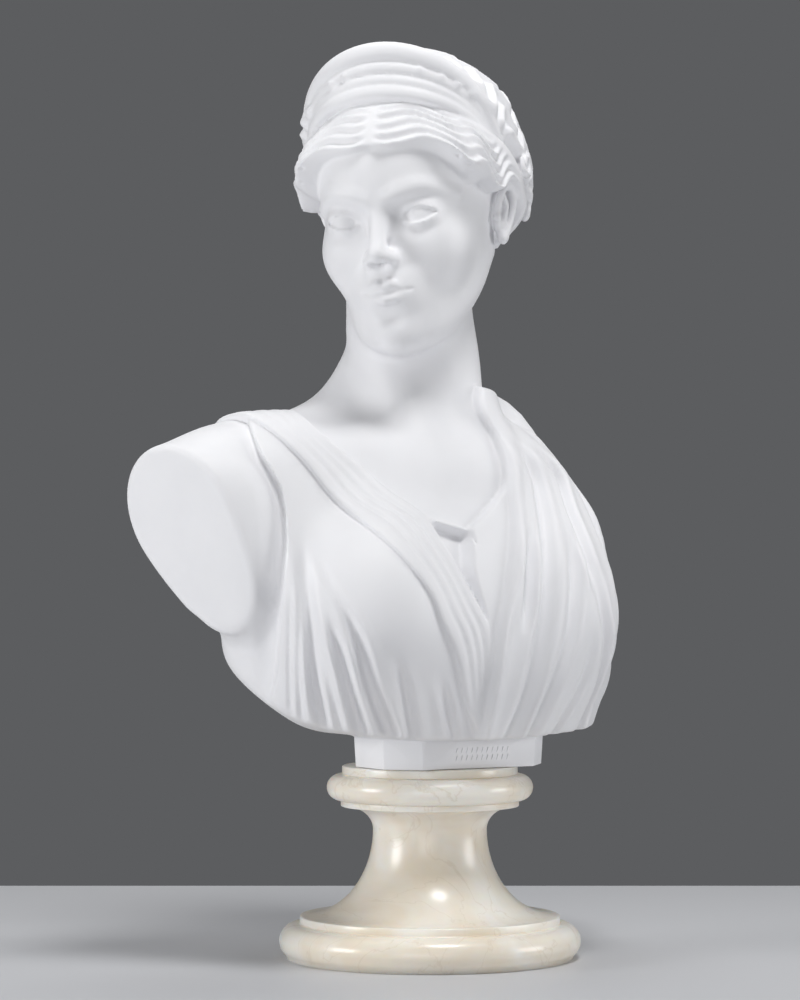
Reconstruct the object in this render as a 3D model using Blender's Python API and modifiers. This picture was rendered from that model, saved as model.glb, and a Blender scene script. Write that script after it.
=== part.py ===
"""Draped bust of a goddess with a diadem, cast in one piece with its block, on a turned alabaster socle.

Metres, +Z up. The origin is the centre of the socle's underside and the block's front faces -Y.
"""

import math

import bmesh
import bpy
import numpy as np
import openvdb

# Driving dimensions, in metres
SOCLE_HEIGHT = 0.109
FOOT_RADIUS = 0.0857
FOOT_ROLL_HEIGHT = 0.0195
FOOT_BEARING_INSET = 0.0047
STEP_RADIUS = 0.0740
STEP_HEIGHT = 0.0045
FLARE_INSET = 0.0017
WAIST_RADIUS = 0.0324
WAIST_HEIGHT = 0.0730
NECKING_RADIUS = 0.0507
NECKING_HEIGHT = 0.0035
CAP_ROLL_RADIUS = 0.0587
CAP_ROLL_HEIGHT = 0.0145
TOP_DISC_RADIUS = 0.0500
TOP_DISC_HEIGHT = 0.0050
SOCLE_STEPS = 36

SEAT_GAP = 0.0003
BLOCK_WIDTH = 0.106
BLOCK_DEPTH = 0.062
BLOCK_HEIGHT = 0.0167
BLOCK_CHAMFER = 0.016
BLOCK_FLARE = math.radians(3)
BLOCK_CENTRE = (0.006, -0.011)
BLOCK_ROOT = 0.002
FIGURE_HEIGHT = 0.390

CARVING_GRID = 2.4
BUST_TRIANGLES = 7400

# The figure is laid out in parts, 390 to its height, counted up from the top of the block.
PARTS = 390
REACH = 12
COLLECTION = "Goddess bust"
CUTTERS = "Cutters"


def read(value):
    return np.array(value, np.float32)


def length(rows):
    return np.sqrt(np.einsum("ij,ij->i", rows, rows))


def ramp(x, start, end):
    t = np.clip((x - start) / (end - start), 0, 1)
    return t * t * (3 - 2 * t)


def strands(t):
    """Round strands one apart: 0 in the rounded groove between two, nearly 1 on a crest."""
    side = 1 - np.abs(2 * (t - np.floor(t)) - 1)
    return 1 - (1.45 - np.sqrt(side * side + 0.2025)) ** 2.4


def crease(t):
    """A groove with a soft fold on either side."""
    return -np.exp(-t * t) + 0.42 * (np.exp(-(t - 1.7) ** 2) + np.exp(-(t + 1.7) ** 2))


def smooth_line(points, samples):
    """A Catmull-Rom line through the points, with so many samples to a span."""
    rows = np.array(points, float)
    rows = np.vstack([2 * rows[0] - rows[1], rows, 2 * rows[-1] - rows[-2]])
    t = np.linspace(0, 1, samples, endpoint=False)[:, None]
    spans = []
    for a, b, c, d in zip(rows, rows[1:], rows[2:], rows[3:]):
        bend = (2 * a - 5 * b + 4 * c - d) * t ** 2 + (3 * b - a - 3 * c + d) * t ** 3
        spans.append(0.5 * (2 * b + (c - a) * t + bend))
    return np.vstack([*spans, rows[-2]])


def turned(yaw, nod, lean):
    """Rotation of a head that faces -Y: first its lean, then its nod, then its turn, in degrees."""
    y, n, r = (math.radians(v) for v in (yaw, nod, lean))
    about_z = np.array([[math.cos(y), -math.sin(y), 0], [math.sin(y), math.cos(y), 0], [0, 0, 1]])
    about_x = np.array([[1, 0, 0], [0, math.cos(n), -math.sin(n)], [0, math.sin(n), math.cos(n)]])
    about_y = np.array([[math.cos(r), 0, math.sin(r)], [0, 1, 0], [-math.sin(r), 0, math.cos(r)]])
    return read(about_z @ about_x @ about_y)


# Forms are distances at a set of points, negative inside. They are worked like clay.
def merge(a, b, soft):
    h = np.clip(0.5 + 0.5 * (b - a) / soft, 0, 1)
    return b + (a - b) * h - soft * h * (1 - h)


def carve(a, b, soft):
    return -merge(-a, b, soft)


def clip(a, b, soft):
    return -merge(-a, -b, soft)


def ellipsoid(p, centre, radii):
    q = (p - read(centre)) / radii
    k = length(q)
    return k * (k - 1) / np.maximum(length(q / radii), 1e-6)


class Clay:
    """A form at the points p, to which balls and rolls of clay are added or taken away."""

    def __init__(self, p, form, reach):
        self.p = p
        self.form = form
        self.reach = reach

    def near(self, centre, radius):
        offset = self.p - read(centre)
        return np.flatnonzero(np.einsum("ij,ij->i", offset, offset) < (radius + self.reach) ** 2)

    def ball(self, centre, radii, soft, work=merge):
        near = self.near(centre, max(radii) + soft)
        if len(near):
            shape = ellipsoid(self.p[near], centre, read(radii))
            self.form[near] = work(self.form[near], shape, soft)

    def roll(self, points, radii, soft, work=merge, samples=4):
        """A roll along a smooth line through the points, its radius running along radii."""
        places = np.linspace(0, len(radii) - 1, len(points))
        size = np.interp(places, range(len(radii)), radii)
        line = smooth_line(np.column_stack([points, size]), samples)
        middle = (line[:, :3].min(0) + line[:, :3].max(0)) / 2
        span = np.linalg.norm(line[:, :3] - middle, axis=1).max()
        near = self.near(middle, span + line[:, 3].max() + soft)
        if not len(near):
            return
        p = self.p[near]
        shape = np.full(len(p), 1e3, np.float32)
        for start, end in zip(read(line), read(line[1:])):
            axis = end[:3] - start[:3]
            t = np.clip((p - start[:3]) @ axis / (axis @ axis), 0, 1)
            radius = start[3] + t * (end[3] - start[3])
            shape = np.minimum(shape, length(p - start[:3] - t[:, None] * axis) - radius)
        self.form[near] = work(self.form[near], shape, soft)


# The head is laid out in shares of its own height, chin to crown, from the level of the chin.
HEAD = 155
HEAD_PLACE = (-11, 4, 312)
SKULL_LEVEL = 0.60
HEAD_TURN = turned(-50, 8, -4.5)
DIADEM_TURN = turned(0, 0, 3)
# Place between the crescent's two edges, and radius, of each roll of the diadem
DIADEM_ROLLS = ((0.02, 0.030), (0.27, 0.027), (0.53, 0.031), (0.86, 0.044))
# Height of the hairline over the depth of the head
HAIRLINE = ((-0.42, 0.755), (-0.36, 0.720), (-0.28, 0.655), (-0.18, 0.585), (-0.06, 0.555), (0.06, 0.565),
            (0.13, 0.50), (0.20, 0.37), (0.30, 0.285), (0.45, 0.27))
LOCK_WIDTH = 0.052
LOCK_WAVE = 0.165
LOCK_RELIEF = 0.026


def into_head(p):
    q = (p - read(HEAD_PLACE)) @ HEAD_TURN / HEAD
    q[:, 2] += SKULL_LEVEL
    return q


def skull(q):
    form = ellipsoid(q, (0, 0.04, 0.60), read((0.320, 0.430, 0.375)))
    clay = Clay(q, form, REACH / HEAD)
    clay.ball((0, -0.215, 0.66), (0.255, 0.200, 0.23), 0.08)
    clay.ball((0, -0.13, 0.39), (0.262, 0.268, 0.34), 0.08)
    return clay.form


def jaw_and_brow(clay):
    clay.ball((0, -0.215, 0.215), (0.180, 0.200, 0.195), 0.08)
    jaw = [(0.225, 0.02, 0.34), (0.195, -0.06, 0.22), (0.10, -0.26, 0.105), (0, -0.325, 0.085)]
    clay.roll(jaw, (0.055, 0.045, 0.060, 0.070), 0.08)
    clay.ball((0, -0.350, 0.092), (0.070, 0.062, 0.066), 0.06)
    clay.ball((0.155, -0.27, 0.385), (0.105, 0.105, 0.110), 0.09)
    clay.ball((0.142, -0.473, 0.500), (0.098, 0.084, 0.054), 0.07, carve)
    clay.ball((0.062, -0.462, 0.500), (0.028, 0.054, 0.046), 0.05, carve)
    brow = [(0.040, -0.402, 0.572), (0.100, -0.394, 0.596), (0.175, -0.358, 0.600), (0.255, -0.250, 0.556)]
    clay.roll(brow, (0.012, 0.015, 0.014, 0.003), 0.05)


def nose_and_mouth(clay):
    bridge = [(0, -0.372, 0.62), (0, -0.388, 0.53), (0, -0.436, 0.43), (0, -0.468, 0.380)]
    clay.roll(bridge, (0.036, 0.030, 0.031, 0.034), 0.035)
    clay.ball((0.040, -0.430, 0.362), (0.026, 0.042, 0.028), 0.03)
    clay.ball((0, -0.368, 0.25), (0.100, 0.060, 0.085), 0.06)
    upper = [(0.084, -0.390, 0.2445), (0.052, -0.418, 0.258), (0.022, -0.434, 0.269), (0, -0.434, 0.264)]
    clay.roll(upper, (0.005, 0.015, 0.021, 0.021), 0.008)
    clay.roll([(0.076, -0.390, 0.240), (0.042, -0.418, 0.222), (0, -0.430, 0.214)], (0.005, 0.021, 0.028), 0.009)
    parting = [(0.096, -0.406, 0.2435), (0.050, -0.444, 0.244), (0.020, -0.462, 0.2445), (0, -0.463, 0.240)]
    clay.roll(parting, (0.0035, 0.006, 0.0065, 0.007), 0.007, carve)
    clay.ball((0, -0.452, 0.160), (0.070, 0.034, 0.022), 0.04, carve)


def eyes(clay):
    """An eyeball between two lids, whose opening is an almond."""
    centre, ball, lids = (0.138, -0.312, 0.500), 0.0715, 0.0855
    inner, width, rise, drop = 0.074, 0.132, 0.034, 0.022
    near = clay.near(centre, lids + 0.05)
    p = clay.p[near]
    share = (p[:, 0] - inner) / width
    almond = np.clip(4 * share * (1 - share), 0, 1) ** 0.7
    middle = 0.494 + 0.010 * share
    opening = np.maximum(p[:, 2] - middle - rise * almond, middle - drop * almond - p[:, 2])
    radius = length(p - read(centre))
    form = merge(clay.form[near], radius - ball, 0.006)
    clay.form[near] = merge(form, np.maximum(radius - lids, -0.9 * opening), 0.014)


def ears(clay):
    clay.ball((0.315, 0.045, 0.465), (0.022, 0.050, 0.090), 0.02)
    rim = [(0.318, 0.005, 0.46), (0.338, -0.010, 0.515), (0.352, 0.03, 0.562), (0.362, 0.085, 0.552),
           (0.358, 0.095, 0.49), (0.342, 0.065, 0.425), (0.328, 0.025, 0.385)]
    clay.roll(rim, (0.011, 0.013, 0.015, 0.016, 0.014, 0.014, 0.020), 0.012)
    clay.ball((0.346, 0.035, 0.475), (0.024, 0.034, 0.055), 0.014, carve)


def hair(q, head, scalp):
    """Waved locks drawn back from a centre parting, over the ears to a knot."""
    x, y, z = q.T
    line = smooth_line(HAIRLINE, 4)
    slope = np.interp(y, line[:, 0], np.gradient(line[:, 1], line[:, 0]))
    above = (z - np.interp(y, line[:, 0], line[:, 1])) / np.hypot(1, slope)
    around = 0.40 * np.arctan2(np.abs(x), 0.16 - y)
    beat = 2 * math.pi * (around - 0.020) / LOCK_WAVE
    swing = 0.010 + 0.016 * ramp(around, 0.04, 0.28)
    wave = swing * np.sin(beat + 5 * above + 0.6 * np.sin(0.43 * beat + 1))
    row = (above + wave) / LOCK_WIDTH
    locks = strands(row) * (1 + 0.15 * np.sin(2.4 * np.floor(row) + 1))
    from_parting = ramp(around, 0, 0.045)
    front = locks * from_parting + 0.35 * (1 - from_parting)
    past = 0.69 * y + 0.725 * z - 0.492
    front = front + (0.9 - front) * ramp(past, -0.055, -0.015)
    angle = np.degrees(np.arctan2(x, z - 0.56))
    comb = (angle + 4.5 * np.sin(2 * math.pi * (y + 0.012 * np.sin(0.12 * angle)) / 0.19)) / 15
    back = strands(comb) * (1 + 0.15 * np.sin(2.1 * np.floor(comb)))
    behind = ramp(past, 0, 0.03)
    relief = LOCK_RELIEF * (front * (1 - behind) + 0.6 * back * behind)
    side = ramp(np.abs(x), 0.10, 0.32) * ramp(z, 0.95, 0.70) * ramp(z, 0.30, 0.50)
    crown = ramp(z, 0.70, 0.95)
    thick = 0.012 + 0.058 * side * (1 - behind) + 0.02 * ramp(y, 0.1, 0.4) * (1 - crown)
    thick = thick + ramp(past, 0.01, 0.08) * (0.105 * crown + 0.075 * side)
    cap = scalp - thick * ramp(above + 0.5 * wave, -0.010, 0.025) - relief
    cap = clip(cap, 0.004 - above - 0.5 * wave, 0.016)
    knot = ellipsoid(q, (0, 0.46, 0.50), read((0.155, 0.13, 0.130)))
    twist = np.degrees(np.arctan2(x, z - 0.50)) / 30 + 1.2 * (y - 0.46) / 0.13
    return merge(merge(head, cap, 0.008), knot - 0.018 * strands(twist), 0.02)


def diadem(q, head):
    """A crescent of rolls that stands up from the hair and tapers away behind the ears."""
    centre = read((0, 0, 0.8))
    clay = Clay((q - centre) @ DIADEM_TURN + centre, head, REACH / HEAD)
    for share, radius in DIADEM_ROLLS:
        points, radii = [], []
        for angle in np.radians(np.linspace(-96, 96, 15)):
            sine, cosine = math.sin(angle), math.cos(angle)
            high = max(0, cosine) ** 0.75
            base = read((0.345 * sine, 0.02 - 0.30 * cosine, 0.66 + 0.285 * high))
            rim = read((0.362 * sine, 0.03 - 0.245 * cosine, 0.66 + 0.455 * high))
            points.append(base + (rim - base) * share)
            radii.append(radius * (0.4 + 0.6 * high))
        clay.roll(points, radii, 0.016, samples=3)
    return clay.form


def head(p):
    q = into_head(p)
    mirrored = np.abs(q * (1, 0, 0)) + q * (0, 1, 1)
    mirrored = mirrored.astype(np.float32)
    scalp = skull(mirrored)
    clay = Clay(mirrored, scalp.copy(), REACH / HEAD)
    jaw_and_brow(clay)
    nose_and_mouth(clay)
    eyes(clay)
    ears(clay)
    return HEAD * diadem(q, hair(q, clay.form, scalp))


def shoulders(clay):
    chest = [(-100, 30, 132), (-50, 12, 136), (0, 4, 128), (40, 10, 129), (72, 24, 120)]
    clay.roll(chest, (36, 30, 28, 30, 34), 30)
    clay.roll([(-88, 0, 159), (-45, -12, 159), (-12, -26, 146)], (8, 6, 8), 20)
    clay.roll([(70, -2, 144), (38, -14, 150), (10, -26, 144)], (8, 6, 8), 20)
    clay.roll([(-12, 30, 204), (-40, 36, 176), (-70, 38, 158), (-110, 34, 134)], (24, 22, 24, 30), 20)
    clay.roll([(0, 34, 194), (22, 36, 164), (50, 34, 144), (78, 28, 124)], (18, 18, 24, 30), 20)


def neck(clay):
    clay.roll([(0, 10, 129), (-1, 14, 184), (-3, 12, 219), (-8, 10, 274)], (40, 35.5, 34.5, 34.5), 20)
    clay.roll([(10, -28, 146), (18, -13, 189), (23, 12, 234)], (5, 4, 5), 18)
    clay.roll([(-14, -28, 146), (-24, -12, 189), (-32, 12, 234)], (4, 6, 8), 22)
    clay.ball((12, -10, 142), (34, 26, 20), 20)


def arms(clay):
    """The right arm is raised and cut; the left hangs under the mantle."""
    clay.ball((-118, 18, 124), (52, 40, 46), 30)
    clay.roll([(-100, 18, 130), (-150, 13, 127), (-215, 6, 120)], (36, 36, 37), 20)
    clay.roll([(-100, 4, 96), (-145, -2, 86), (-200, -10, 74)], (30, 23, 22), 30)
    clay.roll([(70, 26, 116), (74, 24, 74), (76, 20, 39), (70, 12, -6)], (36, 34, 33, 28), 25)
    clay.ball((79, 22, 39), (40, 38, 19), 12)


def torso(p):
    clay = Clay(p, ellipsoid(p, (-6, 18, 69), read((112, 80, 118))), REACH)
    shoulders(clay)
    neck(clay)
    arms(clay)
    clay.ball((-60, -38, 70), (43, 41, 46), 30)
    clay.ball((40, -35, 68), (42, 40, 46), 30)
    clay.ball((-4, -30, 54), (50, 36, 50), 30)
    return clay.form


# Edges of the cloth in the front view: (height, x) pairs
ARMHOLE = ((-6, -93), (10, -90), (23, -88), (40, -84.5), (56, -82.8), (78, -80.6), (94, -79.5),
           (108, -78.7), (122, -79.2), (131, -80.2), (141, -82.7), (152, -88.9), (161, -94.3), (184, -104))
# The armhole's edge and the fan are counted along a level line turned this far from X, in degrees
ARMHOLE_TURN = 32
# The left shoulder falls along a plane: a point (along the turned line, height), its normal, and the
# room it leaves for the cloth
SHOULDER_POINT = (76, 156)
SHOULDER_NORMAL = (0.82, 0.572)
CLOTH_ROOM = 11
BAND_LOWER = ((-1, -5), (5, -9), (23, -22), (48, -34), (66, -45), (82, -52), (105, -67), (119, -76),
              (136, -87), (150, -96), (165, -107), (186, -122))
BAND_UPPER = ((-1, -6), (39, -9), (60, -12), (69, -15), (84, -24), (97, -30), (111, -36), (125, -41),
              (138, -55), (152, -66), (166, -79), (176, -86), (186, -84))
NECKLINE_RIGHT = ((117, -12), (121, -26), (125, -41), (138, -55), (152, -66), (166, -79), (176, -86),
                  (186, -84))
NECKLINE_LEFT = ((117, -12), (130, 6), (141, 18), (153, 22), (168, 22), (176, 19), (183, 16), (196, 17))
FLAP = ((-1, -6), (23, -9), (45, -11), (69, -14), (82, -17), (94, -18), (105, -15), (117, -12), (124, -20))
MANTLE = ((-1, -7), (14, -9), (40, -10), (64, -8), (86, -1), (105, 7), (125, 15), (139, 18), (153, 21),
          (168, 21), (176, 18), (183, 15), (190, 15), (196, 17), (204, 20))
MANTLE_BACK = ((4, -100), (74, -70), (144, -10), (174, 12), (204, 18))
# Grooves of the band, as shares of its width
BAND_GROOVES = (0.30, 0.55, 0.76)
# How deep the pocket between band and flap lies, and the body beside the armhole
POCKET_DEPTH = 6
SIDE_DEPTH = 1.8
RIM_HEIGHT = 3
# Folds that fan from the shoulder: (height, distance along the turned line), depth, half their width
FAN = (
    (((7, -58.6), (34, -63), (60, -65.2), (88, -67.9), (111, -70.6), (145, -75.5)), 5.0, 4.0),
    (((8, -70.6), (31, -71.7), (65, -71.7), (100, -72.8)), 1.6, 2.6),
    (((5, -50), (25, -54), (50, -59), (75, -64)), 2.2, 3.0),
    (((5, -38), (26, -43.4), (46, -48.3), (70, -55)), 3.6, 3.4),
    (((5, -22.8), (31, -32.6), (54, -39), (80, -50)), 4.2, 3.8),
    (((5, -9.8), (20, -12.5), (31, -14.7), (50, -20)), 3.0, 3.4),
    (((56, -36.9), (77, -48.9), (97, -59.7), (118, -69), (145, -78)), 1.4, 3.0),
)
# Folds of the mantle: (height, x) in the front view, depth, half their width
MANTLE_FOLDS = (
    (((9, 14), (28, 16), (57, 19), (89, 25), (108, 31), (126, 38), (145, 42), (159, 37), (170, 28)),
     3.8, 4.4),
    (((58, 9), (73, 11), (92, 15), (108, 20), (120, 25)), 4.5, 3.2),
    (((80, 58), (108, 60), (126, 62), (147, 65), (164, 53)), 4.2, 3.8),
    (((6, 30), (28, 32), (56, 38), (78, 42), (100, 47), (116, 52)), 3.6, 4.2),
    (((11, 80), (32, 75), (55, 70), (77, 64), (100, 62)), 3.2, 4.0),
    (((34, 96), (64, 88), (99, 91), (129, 92), (154, 82), (174, 60)), 3.2, 4.5),
)
# Rolls of the mantle over the shoulder: points, radii, softness
MANTLE_ROLLS = (
    (((-14, 68, 150), (4, 62, 176), (22, 52, 189), (46, 38, 191), (70, 26, 177), (90, 20, 142),
      (99, 20, 104)),
     (3, 7, 11, 12, 12, 10, 6), 8),
    (((16, 40, 194), (13, 8, 193), (16, -14, 186), (25, -28, 170), (27, -41, 150), (24, -54, 126)),
     (7, 8, 7, 6, 4, 2.5), 10),
    (((66, 0, 166), (80, -12, 136), (86, -20, 99)), (4, 6, 4), 10),
)


def beyond(p, edge):
    """Distance past an edge towards +X, in the front view."""
    line = smooth_line(edge, 5)
    lean = np.interp(p[:, 2], line[:, 0], np.gradient(line[:, 1], line[:, 0]))
    return (p[:, 0] - np.interp(p[:, 2], line[:, 0], line[:, 1])) / np.hypot(1, lean)


def fold_relief(p, folds):
    """Folds fade out at their ends, but run to the hem."""
    z = p[:, 2]
    relief = np.zeros(len(p))
    for line, depth, half in folds:
        low, top = line[0][0], line[-1][0]
        fade = ramp(z, top + 4, top - 22)
        if low > 14:
            fade = fade * ramp(z, low - 4, low + 22)
        relief += fade * depth * crease(beyond(p, line) / half)
    return relief


def mantle_relief(p):
    x, y, z = p.T
    across = (0.75 * (z + 126 - x) + 12 * np.sin(0.04 * (z + 126))) / 26
    back = 5 * strands(across) * (0.7 + 0.3 * np.sin(2.1 * np.floor(across))) - 3
    return fold_relief(p, MANTLE_FOLDS) * ramp(-y, -30, 0) + back * ramp(y, 20, 50)


def sunk(p, bare, armhole):
    """The torso with the hollow beside the armhole and the pocket between band and flap."""
    x, y, z = p.T
    side = ramp(armhole, 0.3, 2) * ramp(armhole, 16, 5) * ramp(z, 175, 150) * ramp(-y, -40, -20)
    pocket = ramp(np.minimum(beyond(p, BAND_UPPER) / 2.5, -beyond(p, FLAP)), 0, 3)
    (low, corner), (high, end) = NECKLINE_RIGHT[0], NECKLINE_RIGHT[2]
    pocket = pocket * ramp(np.interp(x, (end, corner), (high, low)) - z, 1, 6) * ramp(-y, 0, 10)
    return bare + SIDE_DEPTH * side + POCKET_DEPTH * pocket


def clothed(p, bare):
    """The bare form under a chiton, its diagonal band and neck flap, and the mantle."""
    x, y, z = p.T
    turn = math.radians(ARMHOLE_TURN)
    across = x * math.cos(turn) - np.minimum(y, 5) * math.sin(turn)
    aside = np.column_stack((across, y, z))
    armhole = -beyond(aside, ARMHOLE)
    slope = (aside[:, ::2] - read(SHOULDER_POINT)) @ read(SHOULDER_NORMAL) + CLOTH_ROOM
    bare = clip(bare, np.where(x > 0, slope - 60 * ramp(z, 182, 200), -80), 8)
    bare = sunk(p, bare, armhole)
    throat = np.minimum(beyond(p, NECKLINE_RIGHT), -beyond(p, NECKLINE_LEFT))
    nape = 169 + 0.004 * (x + 30) ** 2
    throat = np.where(y < 20, np.minimum(throat, z - 109), z - nape)
    collar = z - 194 + 0.1 * x
    lower, upper = beyond(p, BAND_LOWER), beyond(p, BAND_UPPER)
    inside = ramp(-armhole, 0, 4) * ramp(-lower, 0, 4) * ramp(-y, -12, 14) * ramp(z, 125, 35)
    fan = fold_relief(aside, FAN) * inside
    chiton = clip(bare - 3.2 - fan, np.maximum(np.maximum(armhole, throat), collar), 1.5)
    width = np.maximum(lower - upper, 4)
    grooves = sum(np.exp(-((lower - share * width) / 1.6) ** 2) for share in BAND_GROOVES)
    area = np.maximum(np.maximum(-lower, upper), np.maximum(armhole, y - 40))
    depth = 0.9 * ramp(width, 7, 14) * (1 - 0.5 * ramp(z, 120, 160))
    band = clip(bare - 6.2 + 3.6 * ramp(y, 0, 35) + depth * grooves, area, 2)
    area = np.maximum(np.maximum(-beyond(p, FLAP), beyond(p, MANTLE) - 6), np.maximum(throat, y))
    flap = clip(bare - 5.4, np.maximum(area, z - 146), 2)
    from_rim = beyond(p, MANTLE)
    area = np.where(y < 20, -from_rim, np.maximum(-beyond(p, MANTLE_BACK), -88 - x))
    thick = 7.5 + 3 * ramp(x, 30, 90) + RIM_HEIGHT * np.exp(-((from_rim - 4) / 4) ** 2) * ramp(z, 175, 145)
    mantle = clip(bare - thick - mantle_relief(p), np.maximum(area, collar - 6), 4)
    cloth = merge(merge(merge(chiton, band, 1.2), flap, 1.2), mantle, 1.5)
    clay = Clay(p, merge(bare, cloth, 0.8), REACH)
    for points, radii, soft in MANTLE_ROLLS:
        clay.roll(points, radii, soft)
    return clay.form


def trimmed(p, form):
    """The arm's flat cut, the rounded flanks and the underside."""
    x, z = p[:, 0], p[:, 2]
    normal = np.array((-0.90, -0.30, -0.28))
    cut = (p - read((-153, 12, 115))) @ read(normal / np.linalg.norm(normal))
    form = clip(form, cut, 4)
    radii = np.where((x < 0)[:, None], read((160, 160, 135)), read((215, 160, 135)))
    flank = ellipsoid(p, (0, -30, 119), radii)
    upward = ramp(z, 64, 119)
    form = clip(form, flank * (1 - upward) - 80 * upward, 4)
    return clip(form, np.where(x < 0, -1.2e-5 * x ** 3, 3e-4 * x ** 2) - z, 3)


def block_root(p):
    """The soft root that joins the underside to the block."""
    part = FIGURE_HEIGHT / PARTS
    x = np.abs(p[:, 0] - BLOCK_CENTRE[0] / part)
    y = np.abs(p[:, 1] - BLOCK_CENTRE[1] / part)
    inset = 1
    a = BLOCK_WIDTH / 2 / part - inset
    b = BLOCK_DEPTH / 2 / part - inset
    corner = (x + y - a - b + BLOCK_CHAMFER / part) / math.sqrt(2)
    sides = np.maximum(np.maximum(x - a, y - b), corner)
    return np.maximum(sides, np.abs(p[:, 2] - 1) - 4)


def figure(p):
    form = trimmed(p, clothed(p, torso(p)))
    upper = np.flatnonzero(p[:, 2] > 189)
    if len(upper):
        form[upper] = merge(form[upper], head(p[upper]), 6)
    lower = np.flatnonzero(p[:, 2] < 25)
    if len(lower):
        form[lower] = merge(form[lower], block_root(p[lower]), 6)
    return form


def surface(form, low, high, spacing):
    """Points and quads of the surface where the form is zero, sampled near that surface only."""
    side = 4
    counts = np.ceil((np.array(high) - low) / (side * spacing)).astype(int)
    cells = side * np.stack(np.meshgrid(*map(np.arange, counts), indexing="ij"), -1).reshape(-1, 3)
    middle = form(read(low + (cells + (side - 1) / 2) * spacing))
    grid = np.repeat(middle.reshape(counts), side, 0).repeat(side, 1).repeat(side, 2)
    steps = np.stack(np.meshgrid(*[np.arange(side)] * 3, indexing="ij"), -1).reshape(-1, 3)
    near = cells[np.abs(middle) < 1.25 * side * spacing]
    index = (near[:, None] + steps).reshape(-1, 3)
    grid[tuple(index.T)] = form(read(low + index * spacing))
    volume = openvdb.FloatGrid(3 * spacing)
    volume.copyFromArray(np.clip(grid, -3 * spacing, 3 * spacing).astype(np.float32))
    points, _, quads = volume.convertToPolygons(isovalue=0)
    return points * spacing + low, largest_part(len(points), quads)


def largest_part(count, quads):
    """The quads of the largest connected surface, which leaves out specks and pores."""
    label = np.arange(count)
    joined = False
    while not joined:
        lowest = label.copy()
        for corner in quads.T:
            np.minimum.at(lowest, corner, label[quads].min(1))
        lowest = lowest[lowest]
        joined = np.array_equal(lowest, label)
        label = lowest
    main = np.bincount(label[quads[:, 0]]).argmax()
    return quads[label[quads[:, 0]] == main]


def new_object(name, mesh, collection=COLLECTION):
    thing = bpy.data.objects.new(name, mesh)
    bpy.data.collections[collection].objects.link(thing)
    return thing


def material(name, colour, roughness):
    surface_material = bpy.data.materials.new(name)
    surface_material.use_nodes = True
    shader = surface_material.node_tree.nodes["Principled BSDF"]
    shader.inputs["Base Color"].default_value = (*colour, 1)
    shader.inputs["Roughness"].default_value = roughness
    return surface_material


def arc(centre, radii, start, end, count):
    """Points of an elliptic arc, its angles in degrees from +X towards +Z."""
    angles = np.radians(np.linspace(start, end, count))
    return [(centre[0] + radii[0] * math.cos(a), centre[1] + radii[1] * math.sin(a)) for a in angles]


def socle_profile():
    """Radius and height pairs down the outside of the socle."""
    disc_foot = SOCLE_HEIGHT - TOP_DISC_HEIGHT
    cap_foot = disc_foot - CAP_ROLL_HEIGHT
    necking_foot = cap_foot - NECKING_HEIGHT
    step_top = FOOT_ROLL_HEIGHT + STEP_HEIGHT
    edge = TOP_DISC_HEIGHT / 5
    cap = (CAP_ROLL_RADIUS - CAP_ROLL_HEIGHT / 2, CAP_ROLL_HEIGHT / 2)
    foot = (FOOT_RADIUS - FOOT_ROLL_HEIGHT / 2, FOOT_ROLL_HEIGHT / 2)
    throat = NECKING_RADIUS - FLARE_INSET
    flare = STEP_RADIUS - FLARE_INSET
    points = [(0, SOCLE_HEIGHT), (TOP_DISC_RADIUS - edge, SOCLE_HEIGHT)]
    points.append((TOP_DISC_RADIUS, SOCLE_HEIGHT - edge))
    points += [(TOP_DISC_RADIUS, disc_foot)]
    points += arc((cap[0], cap_foot + cap[1]), (cap[1], cap[1]), 90, -90, 7)
    points += [(NECKING_RADIUS, cap_foot), (NECKING_RADIUS, necking_foot)]
    hollow = (throat - WAIST_RADIUS, necking_foot - WAIST_HEIGHT)
    points += arc((throat, WAIST_HEIGHT), hollow, 90, 180, 5)
    sweep = (flare - WAIST_RADIUS, WAIST_HEIGHT - step_top)
    points += arc((flare, WAIST_HEIGHT), sweep, 180, 270, 8)[1:]
    points += [(STEP_RADIUS, step_top), (STEP_RADIUS, FOOT_ROLL_HEIGHT)]
    points += arc((foot[0], foot[1]), (foot[1], foot[1]), 90, -45, 7)
    points += [(FOOT_RADIUS - FOOT_BEARING_INSET, 0), (0, 0)]
    return points


def build_socle():
    profile = socle_profile()
    mesh = bpy.data.meshes.new("socle")
    rows = [(radius, 0, height) for radius, height in profile]
    mesh.from_pydata(rows, [(i, i + 1) for i in range(len(rows) - 1)], [])
    socle = new_object("socle", mesh)
    screw = socle.modifiers.new("Turn", "SCREW")
    screw.steps = screw.render_steps = SOCLE_STEPS
    screw.use_merge_vertices = True
    screw.merge_threshold = 0.00001
    mesh.materials.append(material("ivory alabaster", (0.83, 0.78, 0.70), 0.25))
    return socle


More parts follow.
